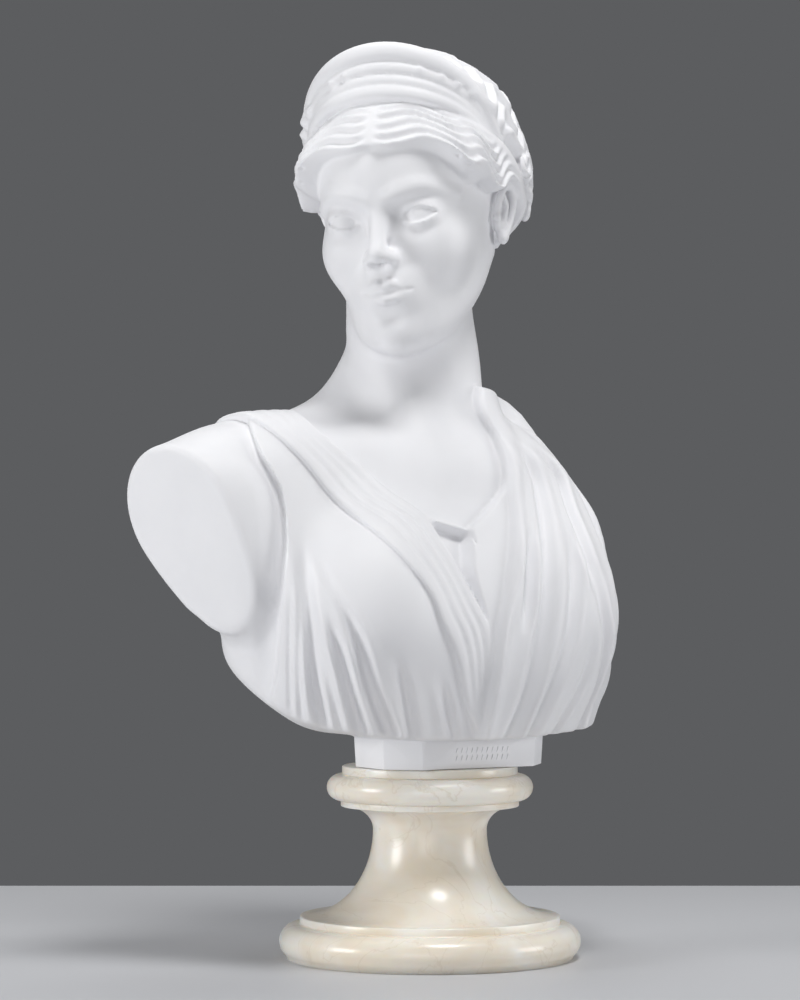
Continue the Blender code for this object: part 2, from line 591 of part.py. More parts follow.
def build_block():
    """A cube with its upright edges chamfered, a little wider at the top."""
    mesh = bpy.data.meshes.new("block")
    shape = bmesh.new()
    bmesh.ops.create_cube(shape, size=1)
    height = BLOCK_HEIGHT + BLOCK_ROOT
    bmesh.ops.scale(shape, vec=(BLOCK_WIDTH, BLOCK_DEPTH, height), verts=shape.verts)
    upright = [e for e in shape.edges if abs(e.verts[0].co.z - e.verts[1].co.z) > height / 2]
    bmesh.ops.bevel(shape, geom=upright, offset=BLOCK_CHAMFER, segments=1, affect="EDGES")
    for vert in shape.verts:
        if vert.co.z > 0:
            grown = height * math.tan(BLOCK_FLARE)
            vert.co.x *= 1 + grown / (BLOCK_WIDTH / 2)
            vert.co.y *= 1 + grown / (BLOCK_DEPTH / 2)
    shape.to_mesh(mesh)
    shape.free()
    block = new_object("block", mesh, CUTTERS)
    block.location = (*BLOCK_CENTRE, SOCLE_HEIGHT + SEAT_GAP + height / 2)
    block.hide_render = True
    block.display_type = "WIRE"
    return block


def build_bust(block):
    part = FIGURE_HEIGHT / PARTS
    points, quads = surface(figure, (-185, -115, -8), (150, 130, 404), CARVING_GRID)
    used, faces = np.unique(quads, return_inverse=True)
    mesh = bpy.data.meshes.new("bust")
    mesh.from_pydata((points[used] * part).tolist(), [], faces.reshape(-1, 4).tolist())
    bust = new_object("bust", mesh)
    bust.location = (0, 0, SOCLE_HEIGHT + SEAT_GAP + BLOCK_HEIGHT)
    fewer = bust.modifiers.new("Fewer faces", "DECIMATE")
    fewer.ratio = BUST_TRIANGLES / (2 * len(quads))
    joined = bust.modifiers.new("Block", "BOOLEAN")
    joined.operation = "UNION"
    joined.solver = "EXACT"
    joined.object = block
    mesh.materials.append(material("white cast marble", (0.82, 0.82, 0.83), 0.55))
    mesh.shade_smooth()
    mesh.set_sharp_from_angle(angle=math.radians(50))
    return bust


def main():
    for thing in list(bpy.data.objects):
        bpy.data.objects.remove(thing, do_unlink=True)
    for name in (COLLECTION, CUTTERS):
        bpy.context.scene.collection.children.link(bpy.data.collections.new(name))
    build_socle()
    build_bust(build_block())


main()
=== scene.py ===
"""Looks of a classical goddess bust in white cast marble on a turned alabaster socle.

The bust is modelled as a sculptor works clay. A form is a distance at each of a set of points, negative
inside, to which balls and rolls are added or taken away. The figure's forms are laid out in millimetres
from the top of its block, and the head's in shares of its own height, chin to crown, from the chin.
"""

from __future__ import annotations

import logging
import math
from concurrent.futures import ThreadPoolExecutor
from dataclasses import dataclass, field
from enum import Enum
from typing import Any, Callable, Sequence

import bmesh
import bpy
import numpy as np
import openvdb
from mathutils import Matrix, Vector

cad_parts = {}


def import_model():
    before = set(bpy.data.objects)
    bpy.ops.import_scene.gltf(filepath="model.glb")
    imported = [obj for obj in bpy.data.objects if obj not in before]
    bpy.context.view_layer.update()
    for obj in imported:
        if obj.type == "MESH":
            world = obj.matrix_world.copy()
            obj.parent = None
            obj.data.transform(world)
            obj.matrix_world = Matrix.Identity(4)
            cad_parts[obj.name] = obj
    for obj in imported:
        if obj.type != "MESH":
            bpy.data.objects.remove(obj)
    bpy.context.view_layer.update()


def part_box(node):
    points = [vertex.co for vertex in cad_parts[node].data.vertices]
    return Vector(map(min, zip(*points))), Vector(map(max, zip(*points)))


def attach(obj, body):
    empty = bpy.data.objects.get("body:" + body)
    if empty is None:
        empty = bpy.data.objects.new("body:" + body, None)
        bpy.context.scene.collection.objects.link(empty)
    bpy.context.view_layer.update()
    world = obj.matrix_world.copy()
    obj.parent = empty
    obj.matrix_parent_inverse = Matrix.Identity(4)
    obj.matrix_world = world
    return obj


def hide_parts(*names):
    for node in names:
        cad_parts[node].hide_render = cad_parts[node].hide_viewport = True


LOG = logging.getLogger("goddess_bust")
MM = 0.001
Array = np.ndarray
Point = tuple[float, float, float]
Edge = tuple[tuple[float, float], ...]


def read(value: Any) -> Array:
    """Gives numbers as an array of 32-bit floats."""
    return np.array(value, np.float32)


def length(rows: Array) -> Array:
    """Gives the length of each row."""
    return np.sqrt(np.einsum("ij,ij->i", rows, rows))


def ramp(x: Array, start: float, end: float) -> Array:
    """Rises smoothly from 0 at start to 1 at end.

    Args:
        x: Where to read it.
        start: Where it leaves 0. It may be above end.
        end: Where it reaches 1.

    Returns:
        A share from 0 to 1 for each x.
    """
    t = np.clip((x - start) / (end - start), 0, 1)
    return t * t * (3 - 2 * t)


def strands(t: Array) -> Array:
    """Gives round strands one apart, 0 in the groove between two and nearly 1 on a crest."""
    side = 1 - np.abs(2 * (t - np.floor(t)) - 1)
    return 1 - (1.45 - np.sqrt(side * side + 0.2025)) ** 2.4


def crease(t: Array) -> Array:
    """Gives a groove with a soft fold on either side."""
    return -np.exp(-t * t) + 0.42 * (np.exp(-((t - 1.7) ** 2)) + np.exp(-((t + 1.7) ** 2)))


def smooth_line(points: Sequence[Sequence[float]] | Array, samples: int) -> Array:
    """Draws a Catmull-Rom line through points.

    Args:
        points: Rows of any width.
        samples: Points of the line to each span.

    Returns:
        The line's rows, from the first point to the last.
    """
    rows = np.array(points, float)
    rows = np.vstack([2 * rows[0] - rows[1], rows, 2 * rows[-1] - rows[-2]])
    t = np.linspace(0, 1, samples, endpoint=False)[:, None]
    spans = []
    for a, b, c, d in zip(rows, rows[1:], rows[2:], rows[3:]):
        bend = (2 * a - 5 * b + 4 * c - d) * t**2 + (3 * b - a - 3 * c + d) * t**3
        spans.append(0.5 * (2 * b + (c - a) * t + bend))
    return np.vstack([*spans, rows[-2]])


def turned(yaw: float, nod: float, lean: float) -> Array:
    """Gives the rotation of a head that faces -Y.

    Args:
        yaw: Turn about the upright axis, in degrees.
        nod: Nod about the axis through the ears, in degrees.
        lean: Lean towards a shoulder, in degrees.

    Returns:
        A 3 by 3 matrix.
    """
    y, n, r = (math.radians(v) for v in (yaw, nod, lean))
    about_z = np.array([[math.cos(y), -math.sin(y), 0], [math.sin(y), math.cos(y), 0], [0, 0, 1]])
    about_x = np.array([[1, 0, 0], [0, math.cos(n), -math.sin(n)], [0, math.sin(n), math.cos(n)]])
    about_y = np.array([[math.cos(r), 0, math.sin(r)], [0, 1, 0], [-math.sin(r), 0, math.cos(r)]])
    return read(about_z @ about_x @ about_y)


def merge(a: Array, b: Array, soft: float) -> Array:
    """Joins two forms with a soft seam."""
    h = np.clip(0.5 + 0.5 * (b - a) / soft, 0, 1)
    return b + (a - b) * h - soft * h * (1 - h)


def carve(a: Array, b: Array, soft: float) -> Array:
    """Takes form b out of form a with a soft edge."""
    return -merge(-a, b, soft)


def clip(a: Array, b: Array, soft: float) -> Array:
    """Keeps what is in both forms, with a soft edge."""
    return -merge(-a, -b, soft)


def ellipsoid(p: Array, centre: Point, radii: Any) -> Array:
    """Gives the distance to an ellipsoid at the points p."""
    q = (p - read(centre)) / radii
    k = length(q)
    return k * (k - 1) / np.maximum(length(q / radii), 1e-6)


class Work(Enum):
    """What a tool does to the clay."""

    ADD = "add"
    CARVE = "carve"

    def apply(self, form: Array, shape: Array, soft: float) -> Array:
        """Gives the form after the work."""
        return merge(form, shape, soft) if self is Work.ADD else carve(form, shape, soft)


@dataclass
class Clay:
    """A form in the making.

    Attributes:
        p: The points where the form is known.
        form: The distance to it at each point.
        reach: How far from a tool's shape the form is still kept up to date.
    """

    p: Array
    form: Array
    reach: float

    def near(self, centre: Any, radius: float) -> Array:
        """Gives the indices of the points within radius and reach of a centre."""
        offset = self.p - read(centre)
        return np.flatnonzero(np.einsum("ij,ij->i", offset, offset) < (radius + self.reach) ** 2)

    def ball(self, centre: Point, radii: Point, soft: float, work: Work = Work.ADD) -> None:
        """Works an ellipsoid into the clay.

        Args:
            centre: Its centre.
            radii: Its radii along X, Y and Z.
            soft: The softness of the seam.
            work: Whether it is added or carved.
        """
        near = self.near(centre, max(radii) + soft)
        if len(near):
            shape = ellipsoid(self.p[near], centre, read(radii))
            self.form[near] = work.apply(self.form[near], shape, soft)

    def roll(
        self,
        points: Sequence[Point] | Array,
        radii: Sequence[float],
        soft: float,
        work: Work = Work.ADD,
        samples: int = 4,
    ) -> None:
        """Works a roll into the clay along a smooth line.

        Args:
            points: What the line passes through.
            radii: The roll's radius, spread evenly along the line.
            soft: The softness of the seam.
            work: Whether it is added or carved.
            samples: How finely each span of the line is drawn.
        """
        places = np.linspace(0, len(radii) - 1, len(points))
        size = np.interp(places, range(len(radii)), radii)
        line = smooth_line(np.column_stack([points, size]), samples)
        middle = (line[:, :3].min(0) + line[:, :3].max(0)) / 2
        span = np.linalg.norm(line[:, :3] - middle, axis=1).max()
        near = self.near(middle, span + line[:, 3].max() + soft)
        if not len(near):
            return
        p = self.p[near]
        shape = np.full(len(p), 1e3, np.float32)
        for start, end in zip(read(line), read(line[1:])):
            axis = end[:3] - start[:3]
            t = np.clip((p - start[:3]) @ axis / (axis @ axis), 0, 1)
            radius = start[3] + t * (end[3] - start[3])
            shape = np.minimum(shape, length(p - start[:3] - t[:, None] * axis) - radius)
        self.form[near] = work.apply(self.form[near], shape, soft)


@dataclass(frozen=True)
class Head:
    """The turned head with its waved hair, knot and diadem, in shares of its height from the chin.

    Attributes:
        height: Chin to crown, in millimetres.
        place: The middle of the skull, from the top of the block.
        skull_level: Height of that middle over the chin.
        yaw: Turn towards the figure's right, in degrees.
        nod: Nod, in degrees.
        lean: Lean, in degrees.
        reach: How far round each tool the form is kept, in millimetres.
        hairline: Height of the hairline over the depth of the head.
        lock: Width of a lock of the front hair.
        wave: Length of a wave in it.
        relief: Depth of the grooves between locks.
        curls: Loops behind the ear: place round the head in degrees, level, radius and start in degrees.
        diadem_lean: Lean of the diadem against the head, in degrees.
        diadem_rolls: Place between the crescent's two edges, and radius, of each of its rolls.
    """

    height: float = 155
    place: Point = (-11, 4, 312)
    skull_level: float = 0.60
    yaw: float = -50
    nod: float = 8
    lean: float = -4.5
    reach: float = 12
    hairline: Edge = (
        (-0.42, 0.755), (-0.36, 0.720), (-0.28, 0.655), (-0.18, 0.585), (-0.06, 0.555),
        (0.06, 0.565), (0.13, 0.50), (0.20, 0.37), (0.30, 0.285), (0.45, 0.27),
    )
    lock: float = 0.040
    wave: float = 0.165
    relief: float = 0.020
    curls: tuple[tuple[float, float, float, float], ...] = (
        (112, 0.72, 0.040, 20), (100, 0.635, 0.038, 150), (117, 0.60, 0.040, 250),
        (122, 0.47, 0.036, 60), (112, 0.375, 0.032, 180),
    )
    diadem_lean: float = 3
    diadem_rolls: Edge = ((0.02, 0.030), (0.27, 0.025), (0.53, 0.029), (0.86, 0.042))

    def inside(self, p: Array) -> Array:
        """Gives points of the figure in the head's own shares."""
        q = (p - read(self.place)) @ turned(self.yaw, self.nod, self.lean) / self.height
        q[:, 2] += self.skull_level
        return q

    def skull(self, q: Array) -> Array:
        """Gives the plain egg of skull, forehead and face."""
        clay = Clay(q, ellipsoid(q, (0, 0.04, 0.60), read((0.320, 0.430, 0.375))), self.reach / self.height)
        clay.ball((0, -0.215, 0.66), (0.255, 0.200, 0.23), 0.08)
        clay.ball((0, -0.13, 0.39), (0.262, 0.268, 0.34), 0.08)
        return clay.form

    def jaw_and_brow(self, clay: Clay) -> None:
        """Works the jaw, chin and cheeks, and the sockets under the brow."""
        clay.ball((0, -0.215, 0.215), (0.180, 0.200, 0.195), 0.08)
        jaw = [(0.225, 0.02, 0.34), (0.195, -0.06, 0.22), (0.10, -0.26, 0.105), (0, -0.325, 0.085)]
        clay.roll(jaw, (0.055, 0.045, 0.060, 0.070), 0.08)
        clay.ball((0, -0.350, 0.092), (0.070, 0.062, 0.066), 0.06)
        clay.ball((0.155, -0.27, 0.385), (0.105, 0.105, 0.110), 0.09)
        clay.ball((0.142, -0.473, 0.500), (0.098, 0.084, 0.054), 0.07, Work.CARVE)
        clay.ball((0.062, -0.462, 0.500), (0.028, 0.054, 0.046), 0.05, Work.CARVE)
        brow = [
            (0.040, -0.402, 0.572), (0.100, -0.394, 0.596), (0.175, -0.358, 0.600), (0.255, -0.250, 0.556),
        ]
        clay.roll(brow, (0.012, 0.015, 0.014, 0.003), 0.05)

    def nose_and_mouth(self, clay: Clay) -> None:
        """Works a straight nose and closed lips."""
        bridge = [(0, -0.372, 0.62), (0, -0.388, 0.53), (0, -0.436, 0.43), (0, -0.468, 0.380)]
        clay.roll(bridge, (0.036, 0.030, 0.031, 0.034), 0.035)
        clay.ball((0.040, -0.430, 0.362), (0.026, 0.042, 0.028), 0.03)
        clay.ball((0.024, -0.455, 0.336), (0.012, 0.024, 0.012), 0.012, Work.CARVE)
        clay.ball((0, -0.368, 0.25), (0.100, 0.060, 0.085), 0.06)
        upper = [(0.084, -0.390, 0.2445), (0.052, -0.418, 0.258), (0.022, -0.434, 0.269), (0, -0.434, 0.264)]
        clay.roll(upper, (0.005, 0.015, 0.021, 0.021), 0.008)
        lower = [(0.076, -0.390, 0.240), (0.042, -0.418, 0.222), (0, -0.430, 0.214)]
        clay.roll(lower, (0.005, 0.021, 0.028), 0.009)
        parting = [
            (0.096, -0.406, 0.2435), (0.050, -0.444, 0.244), (0.020, -0.462, 0.2445), (0, -0.463, 0.240),
        ]
        clay.roll(parting, (0.0035, 0.006, 0.0065, 0.007), 0.007, Work.CARVE)
        clay.ball((0, -0.452, 0.160), (0.070, 0.034, 0.022), 0.04, Work.CARVE)
        clay.roll([(0, -0.448, 0.328), (0, -0.458, 0.288)], (0.008, 0.010), 0.018, Work.CARVE)

    def eyes(self, clay: Clay) -> None:
        """Sets a blank eyeball between two lids, whose opening is an almond, with a crease above."""
        centre, ball, lids = (0.138, -0.312, 0.500), 0.0725, 0.0845
        inner, width, rise, drop = 0.074, 0.132, 0.034, 0.022
        near = clay.near(centre, lids + 0.05)
        p = clay.p[near]
        share = (p[:, 0] - inner) / width
        almond = np.clip(4 * share * (1 - share), 0, 1) ** 0.7
        middle = 0.494 + 0.010 * share
        opening = np.maximum(p[:, 2] - middle - rise * almond, middle - drop * almond - p[:, 2])
        radius = length(p - read(centre))
        form = merge(clay.form[near], radius - ball, 0.006)
        clay.form[near] = merge(form, np.maximum(radius - lids, -0.9 * opening), 0.014)
        fold = [
            (0.078, -0.400, 0.528), (0.138, -0.410, 0.556), (0.200, -0.372, 0.545), (0.226, -0.338, 0.520),
        ]
        clay.roll(fold, (0.003, 0.005, 0.005, 0.003), 0.014, Work.CARVE)

    def ears(self, clay: Clay) -> None:
        """Works the ear's rim, hollow, inner fold and lobe."""
        clay.ball((0.315, 0.045, 0.465), (0.022, 0.050, 0.090), 0.02)
        rim = [
            (0.318, 0.005, 0.46), (0.338, -0.010, 0.515), (0.352, 0.03, 0.562), (0.362, 0.085, 0.552),
            (0.358, 0.095, 0.49), (0.342, 0.065, 0.425), (0.328, 0.025, 0.385),
        ]
        clay.roll(rim, (0.011, 0.013, 0.015, 0.016, 0.014, 0.014, 0.020), 0.012)
        clay.ball((0.346, 0.035, 0.475), (0.024, 0.034, 0.055), 0.014, Work.CARVE)
        inner = [(0.332, 0.04, 0.435), (0.340, 0.065, 0.49), (0.342, 0.04, 0.535)]
        clay.roll(inner, (0.010, 0.010, 0.008), 0.012)
        clay.ball((0.325, -0.013, 0.455), (0.014, 0.014, 0.018), 0.012)
        clay.ball((0.327, 0.020, 0.380), (0.016, 0.024, 0.026), 0.014)

    def hair(self, q: Array, head: Array, scalp: Array) -> Array:
        """Draws waved locks back from a centre parting, over the ears to a knot.

        Args:
            q: Points in the head's shares.
            head: The bare head there.
            scalp: The plain skull there.

        Returns:
            The head with its hair.
        """
        x, y, z = q.T
        line = smooth_line(self.hairline, 4)
        slope = np.interp(y, line[:, 0], np.gradient(line[:, 1], line[:, 0]))
        above = (z - np.interp(y, line[:, 0], line[:, 1])) / np.hypot(1, slope)
        around = 0.40 * np.arctan2(np.abs(x), 0.16 - y)
        beat = 2 * math.pi * (around - 0.020) / self.wave
        swing = 0.010 + 0.016 * ramp(around, 0.04, 0.28)
        phase = beat + 5 * above + 0.6 * np.sin(0.43 * beat + 1)
        wave = swing * np.sin(phase)
        row = (above + wave) / self.lock
        locks = strands(row) * (1.0 + 0.15 * np.sin(2.4 * np.floor(row) + 1))
        locks = locks / np.hypot(1, swing * 2 * math.pi / self.wave * np.cos(phase))
        from_parting = ramp(around, 0, 0.035)
        front = locks * from_parting + 0.3 * (1 - from_parting)
        past = 0.69 * y + 0.725 * z - 0.492
        front = front + (0.9 - front) * ramp(past, -0.055, -0.015)
        angle = np.degrees(np.arctan2(x, z - 0.56))
        comb = (angle + 4.5 * np.sin(2 * math.pi * (y + 0.012 * np.sin(0.12 * angle)) / 0.19)) / 10.5
        back = strands(comb) * (1.0 + 0.15 * np.sin(2.1 * np.floor(comb)))
        behind = ramp(past, 0.0, 0.03)
        relief = self.relief * (front * (1 - behind) + back * behind)
        side = ramp(np.abs(x), 0.10, 0.32) * ramp(z, 0.95, 0.70) * ramp(z, 0.30, 0.50)
        crown = ramp(z, 0.70, 0.95)
        thick = 0.014 + 0.058 * side * (1 - behind) + 0.02 * ramp(y, 0.1, 0.4) * (1 - crown)
        thick = thick + ramp(past, 0.01, 0.08) * (0.105 * crown + 0.075 * side)
        cap = scalp - thick * ramp(above + 0.5 * wave, -0.010, 0.015) - relief
        cap = clip(cap, 0.004 - above - 0.5 * wave, 0.010)
        knot = ellipsoid(q, (0, 0.46, 0.50), read((0.155, 0.13, 0.130)))
        twist = np.degrees(np.arctan2(x, z - 0.50)) / 30 + 1.2 * (y - 0.46) / 0.13
        form = merge(merge(head, cap, 0.008), knot - 0.018 * strands(twist), 0.02)
        mirrored = q.copy()
        mirrored[:, 0] = np.abs(x)
        clay = Clay(mirrored, form, self.reach / self.height)
        for place, level, size, start in self.curls:
            clay.roll(self.curl(place, level, size, start), (0.008, 0.016, 0.017, 0.013), 0.007)
        return clay.form

    def curl(self, place: float, level: float, size: float, start: float) -> list[Point]:
        """Draws a curl of hair that lies on the side of the head.

        Args:
            place: Where it lies round the head, in degrees from the face.
            level: Height of its middle.
            size: Its radius.
            start: Where on its circle it starts, in degrees.

        Returns:
            Points along the loop.
        """
        wide, deep, tall = 0.418, 0.535, 0.480
        points = []
        for share in np.linspace(0, 1, 11):
            angle = math.radians(start + 400 * share)
            radius = size * (1.25 - 0.85 * share)
            z = level + radius * math.sin(angle)
            at = math.radians(place) + radius * math.cos(angle) / wide
            level_share = math.sqrt(max(0.05, 1 - ((z - 0.60) / tall) ** 2))
            points.append((wide * level_share * math.sin(at), 0.04 - deep * level_share * math.cos(at), z))
        return points

    def diadem(self, q: Array, head: Array) -> Array:
        """Sets a crescent of rolls on the hair, which tapers away behind the ears.

        Args:
            q: Points in the head's shares.
            head: The head with its hair there.

        Returns:
            The head with hair and diadem.
        """
        centre = read((0, 0, 0.8))
        clay = Clay((q - centre) @ turned(0, 0, self.diadem_lean) + centre, head, self.reach / self.height)
        for share, radius in self.diadem_rolls:
            points, radii = [], []
            for angle in np.radians(np.linspace(-96, 96, 15)):
                sine, cosine = math.sin(angle), math.cos(angle)
                high = max(0, cosine) ** 0.75
                base = read((0.345 * sine, 0.02 - 0.30 * cosine, 0.66 + 0.285 * high))
                rim = read((0.362 * sine, 0.03 - 0.245 * cosine, 0.66 + 0.455 * high))
                points.append(base + (rim - base) * share)
                radii.append(radius * (0.4 + 0.6 * high))
            clay.roll(points, radii, 0.006, samples=3)
        return clay.form

    def form(self, p: Array) -> Array:
        """Gives the whole head at points of the figure."""
        q = self.inside(p)
        mirrored = q.copy()
        mirrored[:, 0] = np.abs(mirrored[:, 0])
        scalp = self.skull(mirrored)
        clay = Clay(mirrored, scalp.copy(), self.reach / self.height)
        self.jaw_and_brow(clay)
        self.nose_and_mouth(clay)
        self.eyes(clay)
        self.ears(clay)
        return self.height * self.diadem(q, self.hair(q, clay.form, scalp))


@dataclass(frozen=True)
class Torso:
    """The bare figure below the head, in millimetres from the top of the block.

    Attributes:
        reach: How far round each tool the form is kept.
    """

    reach: float = 12

    def shoulders(self, clay: Clay) -> None:
        """Works the upper chest, the collar bones and the slope from neck to shoulder."""
        chest = [(-100, 30, 132), (-50, 12, 136), (0, 4, 128), (40, 10, 129), (72, 24, 120)]
        clay.roll(chest, (36, 30, 28, 30, 34), 30)
        clay.roll([(-88, 0, 159), (-45, -12, 159), (-12, -26, 146)], (8, 6, 8), 20)
        clay.roll([(70, -2, 144), (38, -14, 150), (10, -26, 144)], (8, 6, 8), 20)
        clay.roll([(-12, 30, 204), (-40, 36, 176), (-70, 38, 158), (-110, 34, 134)], (24, 22, 24, 30), 20)
        clay.roll([(0, 34, 194), (22, 36, 164), (50, 34, 144), (78, 28, 124)], (18, 18, 24, 30), 20)

    def neck(self, clay: Clay) -> None:
        """Works the neck, its two cords and the pit between the collar bones."""
        clay.roll([(0, 10, 129), (-1, 14, 184), (-3, 12, 219), (-8, 10, 274)], (40, 35.5, 34.5, 34.5), 20)
        clay.roll([(10, -28, 146), (18, -13, 189), (23, 12, 234)], (5, 4, 5), 18)
        clay.roll([(-14, -28, 146), (-24, -12, 189), (-32, 12, 234)], (4, 6, 8), 22)
        clay.ball((12, -10, 142), (34, 26, 20), 20)

    def arms(self, clay: Clay) -> None:
        """Works the raised right arm, and the left that hangs under the mantle."""
        clay.ball((-118, 18, 124), (52, 40, 46), 30)
        clay.roll([(-100, 18, 130), (-150, 13, 127), (-215, 6, 120)], (36, 36, 37), 20)
        clay.roll([(-100, 4, 96), (-145, -2, 86), (-200, -10, 74)], (30, 23, 22), 30)
        clay.roll([(70, 26, 116), (74, 24, 74), (76, 20, 39), (70, 12, -6)], (36, 34, 33, 28), 25)
        clay.ball((79, 22, 39), (40, 38, 19), 12)

    def form(self, p: Array) -> Array:
        """Gives the bare torso, neck and arms at the points p."""
        clay = Clay(p, ellipsoid(p, (-6, 18, 69), read((112, 80, 118))), self.reach)
        self.shoulders(clay)
        self.neck(clay)
        self.arms(clay)
        clay.ball((-60, -38, 70), (43, 41, 46), 30)
        clay.ball((40, -35, 68), (42, 40, 46), 30)
        clay.ball((-4, -30, 54), (50, 36, 50), 30)
        return clay.form


@dataclass(frozen=True)
class Fold:
    """One fold of the cloth.

    Attributes:
        line: Its line in the front view, as (height, x) pairs.
        depth: Its depth.
        half: Half its width.
    """

    line: Edge
    depth: float
    half: float


@dataclass(frozen=True)
class Roll:
    """One roll of cloth in space.

    Attributes:
        points: What it runs through.
        radii: Its radius, spread evenly along it.
        soft: The softness of its seam.
    """

    points: tuple[Point, ...]
    radii: tuple[float, ...]
    soft: float


@dataclass(frozen=True)
class Drapery:
    """The chiton with its diagonal band and neck flap, and the mantle over the left shoulder.

    The edges are (height, x) pairs in the front view, in millimetres from the top of the block. The armhole
    and the fan are counted along a level line that is turned from X.

    Attributes:
        armhole: Edge of the chiton at the cut arm.
        band_lower: Lower edge of the diagonal band.
        band_upper: Its upper edge.
        neckline_right: The neckline on the figure's right.
        neckline_left: The neckline on its left.
        flap: The free edge of the flap under the throat.
        mantle: The mantle's edge in front.
        mantle_back: Its edge behind.
        band_grooves: Grooves of the band, as shares of its width.
        groove_depth: How deep they are at most.
        groove_half: Half the width of one.
        armhole_turn: How far the turned line is from X, in degrees.
        hollow_depth: Depth of the pocket between band and flap.
        side_depth: How far the body lies in beside the armhole.
        chiton_thick: How far the chiton stands out from the body.
        band_thick: How far the band stands out.
        flap_thick: How far the flap stands out.
        mantle_thick: How far the mantle stands out in front.
        mantle_fuller: How much more it stands out at the figure's left.
        rim: How much its edge stands up.
        throat: The neckline's lowest point.
        nape: The neckline's lowest point behind.
        collar: Where the cloth ends on the neck.
        shoulder_point: A point of the plane along which the left shoulder falls, on the turned line and up.
        shoulder_normal: The normal of that plane.
        cloth_room: How far the bare shoulder lies under that plane.
        shoulder_top: Over these heights the plane fades out.
        fan: Folds that fan from the right shoulder, along the turned line.
        folds: Folds of the mantle.
        rolls: Rolls of the mantle.
        reach: How far round each roll the form is kept.
    """

    armhole: Edge = (
        (-6, -93), (10, -90), (23, -88), (40, -84.5), (56, -82.8), (78, -80.6), (94, -79.5), (108, -78.7),
        (122, -79.2), (131, -80.2), (141, -82.7), (152, -88.9), (161, -94.3), (184, -104),
    )
    band_lower: Edge = (
        (-1, -5), (5, -9), (23, -22), (48, -34), (66, -45), (82, -52), (105, -67), (119, -76), (136, -87),
        (150, -96), (165, -107), (186, -122),
    )
    band_upper: Edge = (
        (-1, -6), (39, -9), (60, -12), (69, -15), (84, -24), (97, -30), (111, -36), (125, -41), (138, -55),
        (152, -66), (166, -79), (176, -86), (186, -84),
    )
    neckline_right: Edge = (
        (117, -12), (121, -26), (125, -41), (138, -55), (152, -66), (166, -79), (176, -86), (186, -84),
    )
    neckline_left: Edge = (
        (117, -12), (130, 6), (141, 18), (153, 22), (168, 22), (176, 19), (183, 16), (196, 17),
    )
    flap: Edge = (
        (-1, -6), (23, -9), (45, -11), (69, -14), (82, -17), (94, -18), (105, -15), (117, -12), (124, -20),
    )
    mantle: Edge = (
        (-1, -7), (14, -9), (40, -10), (64, -8), (86, -1), (105, 7), (125, 15), (139, 18), (153, 21),
        (168, 21), (176, 18), (183, 15), (190, 15), (196, 17), (204, 20),
    )
    mantle_back: Edge = ((4, -100), (74, -70), (144, -10), (174, 12), (204, 18))
    band_grooves: tuple[float, ...] = (0.30, 0.55, 0.76)
    groove_depth: float = 0.9
    groove_half: float = 1.6
    armhole_turn: float = 32
    hollow_depth: float = 6
    side_depth: float = 1.8
    chiton_thick: float = 3.2
    band_thick: float = 6.2
    flap_thick: float = 5.4
    mantle_thick: float = 7.5
    mantle_fuller: float = 3
    rim: float = 3
    throat: float = 109
    nape: float = 169
    collar: float = 194
    shoulder_point: tuple[float, float] = (76, 156)
    shoulder_normal: tuple[float, float] = (0.82, 0.572)
    cloth_room: float = 11
    shoulder_top: tuple[float, float] = (182, 200)
    fan: tuple[Fold, ...] = (
        Fold(((7, -58.6), (34, -63), (60, -65.2), (88, -67.9), (111, -70.6), (145, -75.5)), 5.0, 3.6),
        Fold(((11, -77), (43, -77), (71, -76), (100, -75.5)), 1.0, 1.6),
        Fold(((8, -70.6), (31, -71.7), (65, -71.7), (100, -72.8)), 1.4, 1.8),
        Fold(((5, -50), (25, -54), (50, -59), (75, -64)), 2.2, 2.6),
        Fold(((5, -38), (26, -43.4), (46, -48.3), (70, -55)), 3.6, 3.2),
        Fold(((5, -22.8), (31, -32.6), (54, -39), (80, -50)), 4.2, 3.6),
        Fold(((5, -9.8), (20, -12.5), (31, -14.7), (50, -20)), 3.0, 3.2),
        Fold(((3, 12.5), (13, 10.3), (20, 8.7), (40, 4)), 2.4, 2.8),
        Fold(((56, -36.9), (77, -48.9), (97, -59.7), (118, -69), (145, -78)), 1.4, 2.4),
    )
    folds: tuple[Fold, ...] = (
        Fold(
            ((9, 14), (28, 16), (57, 19), (89, 25), (108, 31), (126, 38), (145, 42), (159, 37), (170, 28)),
            3.8, 4.4,
        ),
        Fold(((58, 9), (73, 11), (92, 15), (108, 20), (120, 25)), 4.5, 3.2),
        Fold(((80, 58), (108, 60), (126, 62), (147, 65), (164, 53)), 4.2, 3.8),
        Fold(((6, 30), (28, 32), (56, 38), (78, 42), (100, 47), (116, 52)), 3.6, 4.2),
        Fold(((11, 80), (32, 75), (55, 70), (77, 64), (100, 62)), 3.2, 4.0),
        Fold(((34, 96), (64, 88), (99, 91), (129, 92), (154, 82), (174, 60)), 3.2, 4.5),
        Fold(((3, 52), (20, 54), (40, 56), (60, 56)), 2.2, 3.4),
    )
    rolls: tuple[Roll, ...] = (
        Roll(
            (
                (-14, 68, 150), (4, 62, 176), (22, 52, 189), (46, 38, 191), (70, 26, 177), (90, 20, 142),
                (99, 20, 104),
            ),
            (3, 7, 11, 12, 12, 10, 6), 8,
        ),
        Roll(
            ((16, 40, 194), (13, 8, 193), (16, -14, 186), (25, -28, 170), (27, -41, 150), (24, -54, 126)),
            (7, 8, 7, 6, 4, 2.5), 10,
        ),
        Roll(((66, 0, 166), (80, -12, 136), (86, -20, 99)), (4, 6, 4), 10),
    )
    reach: float = 12

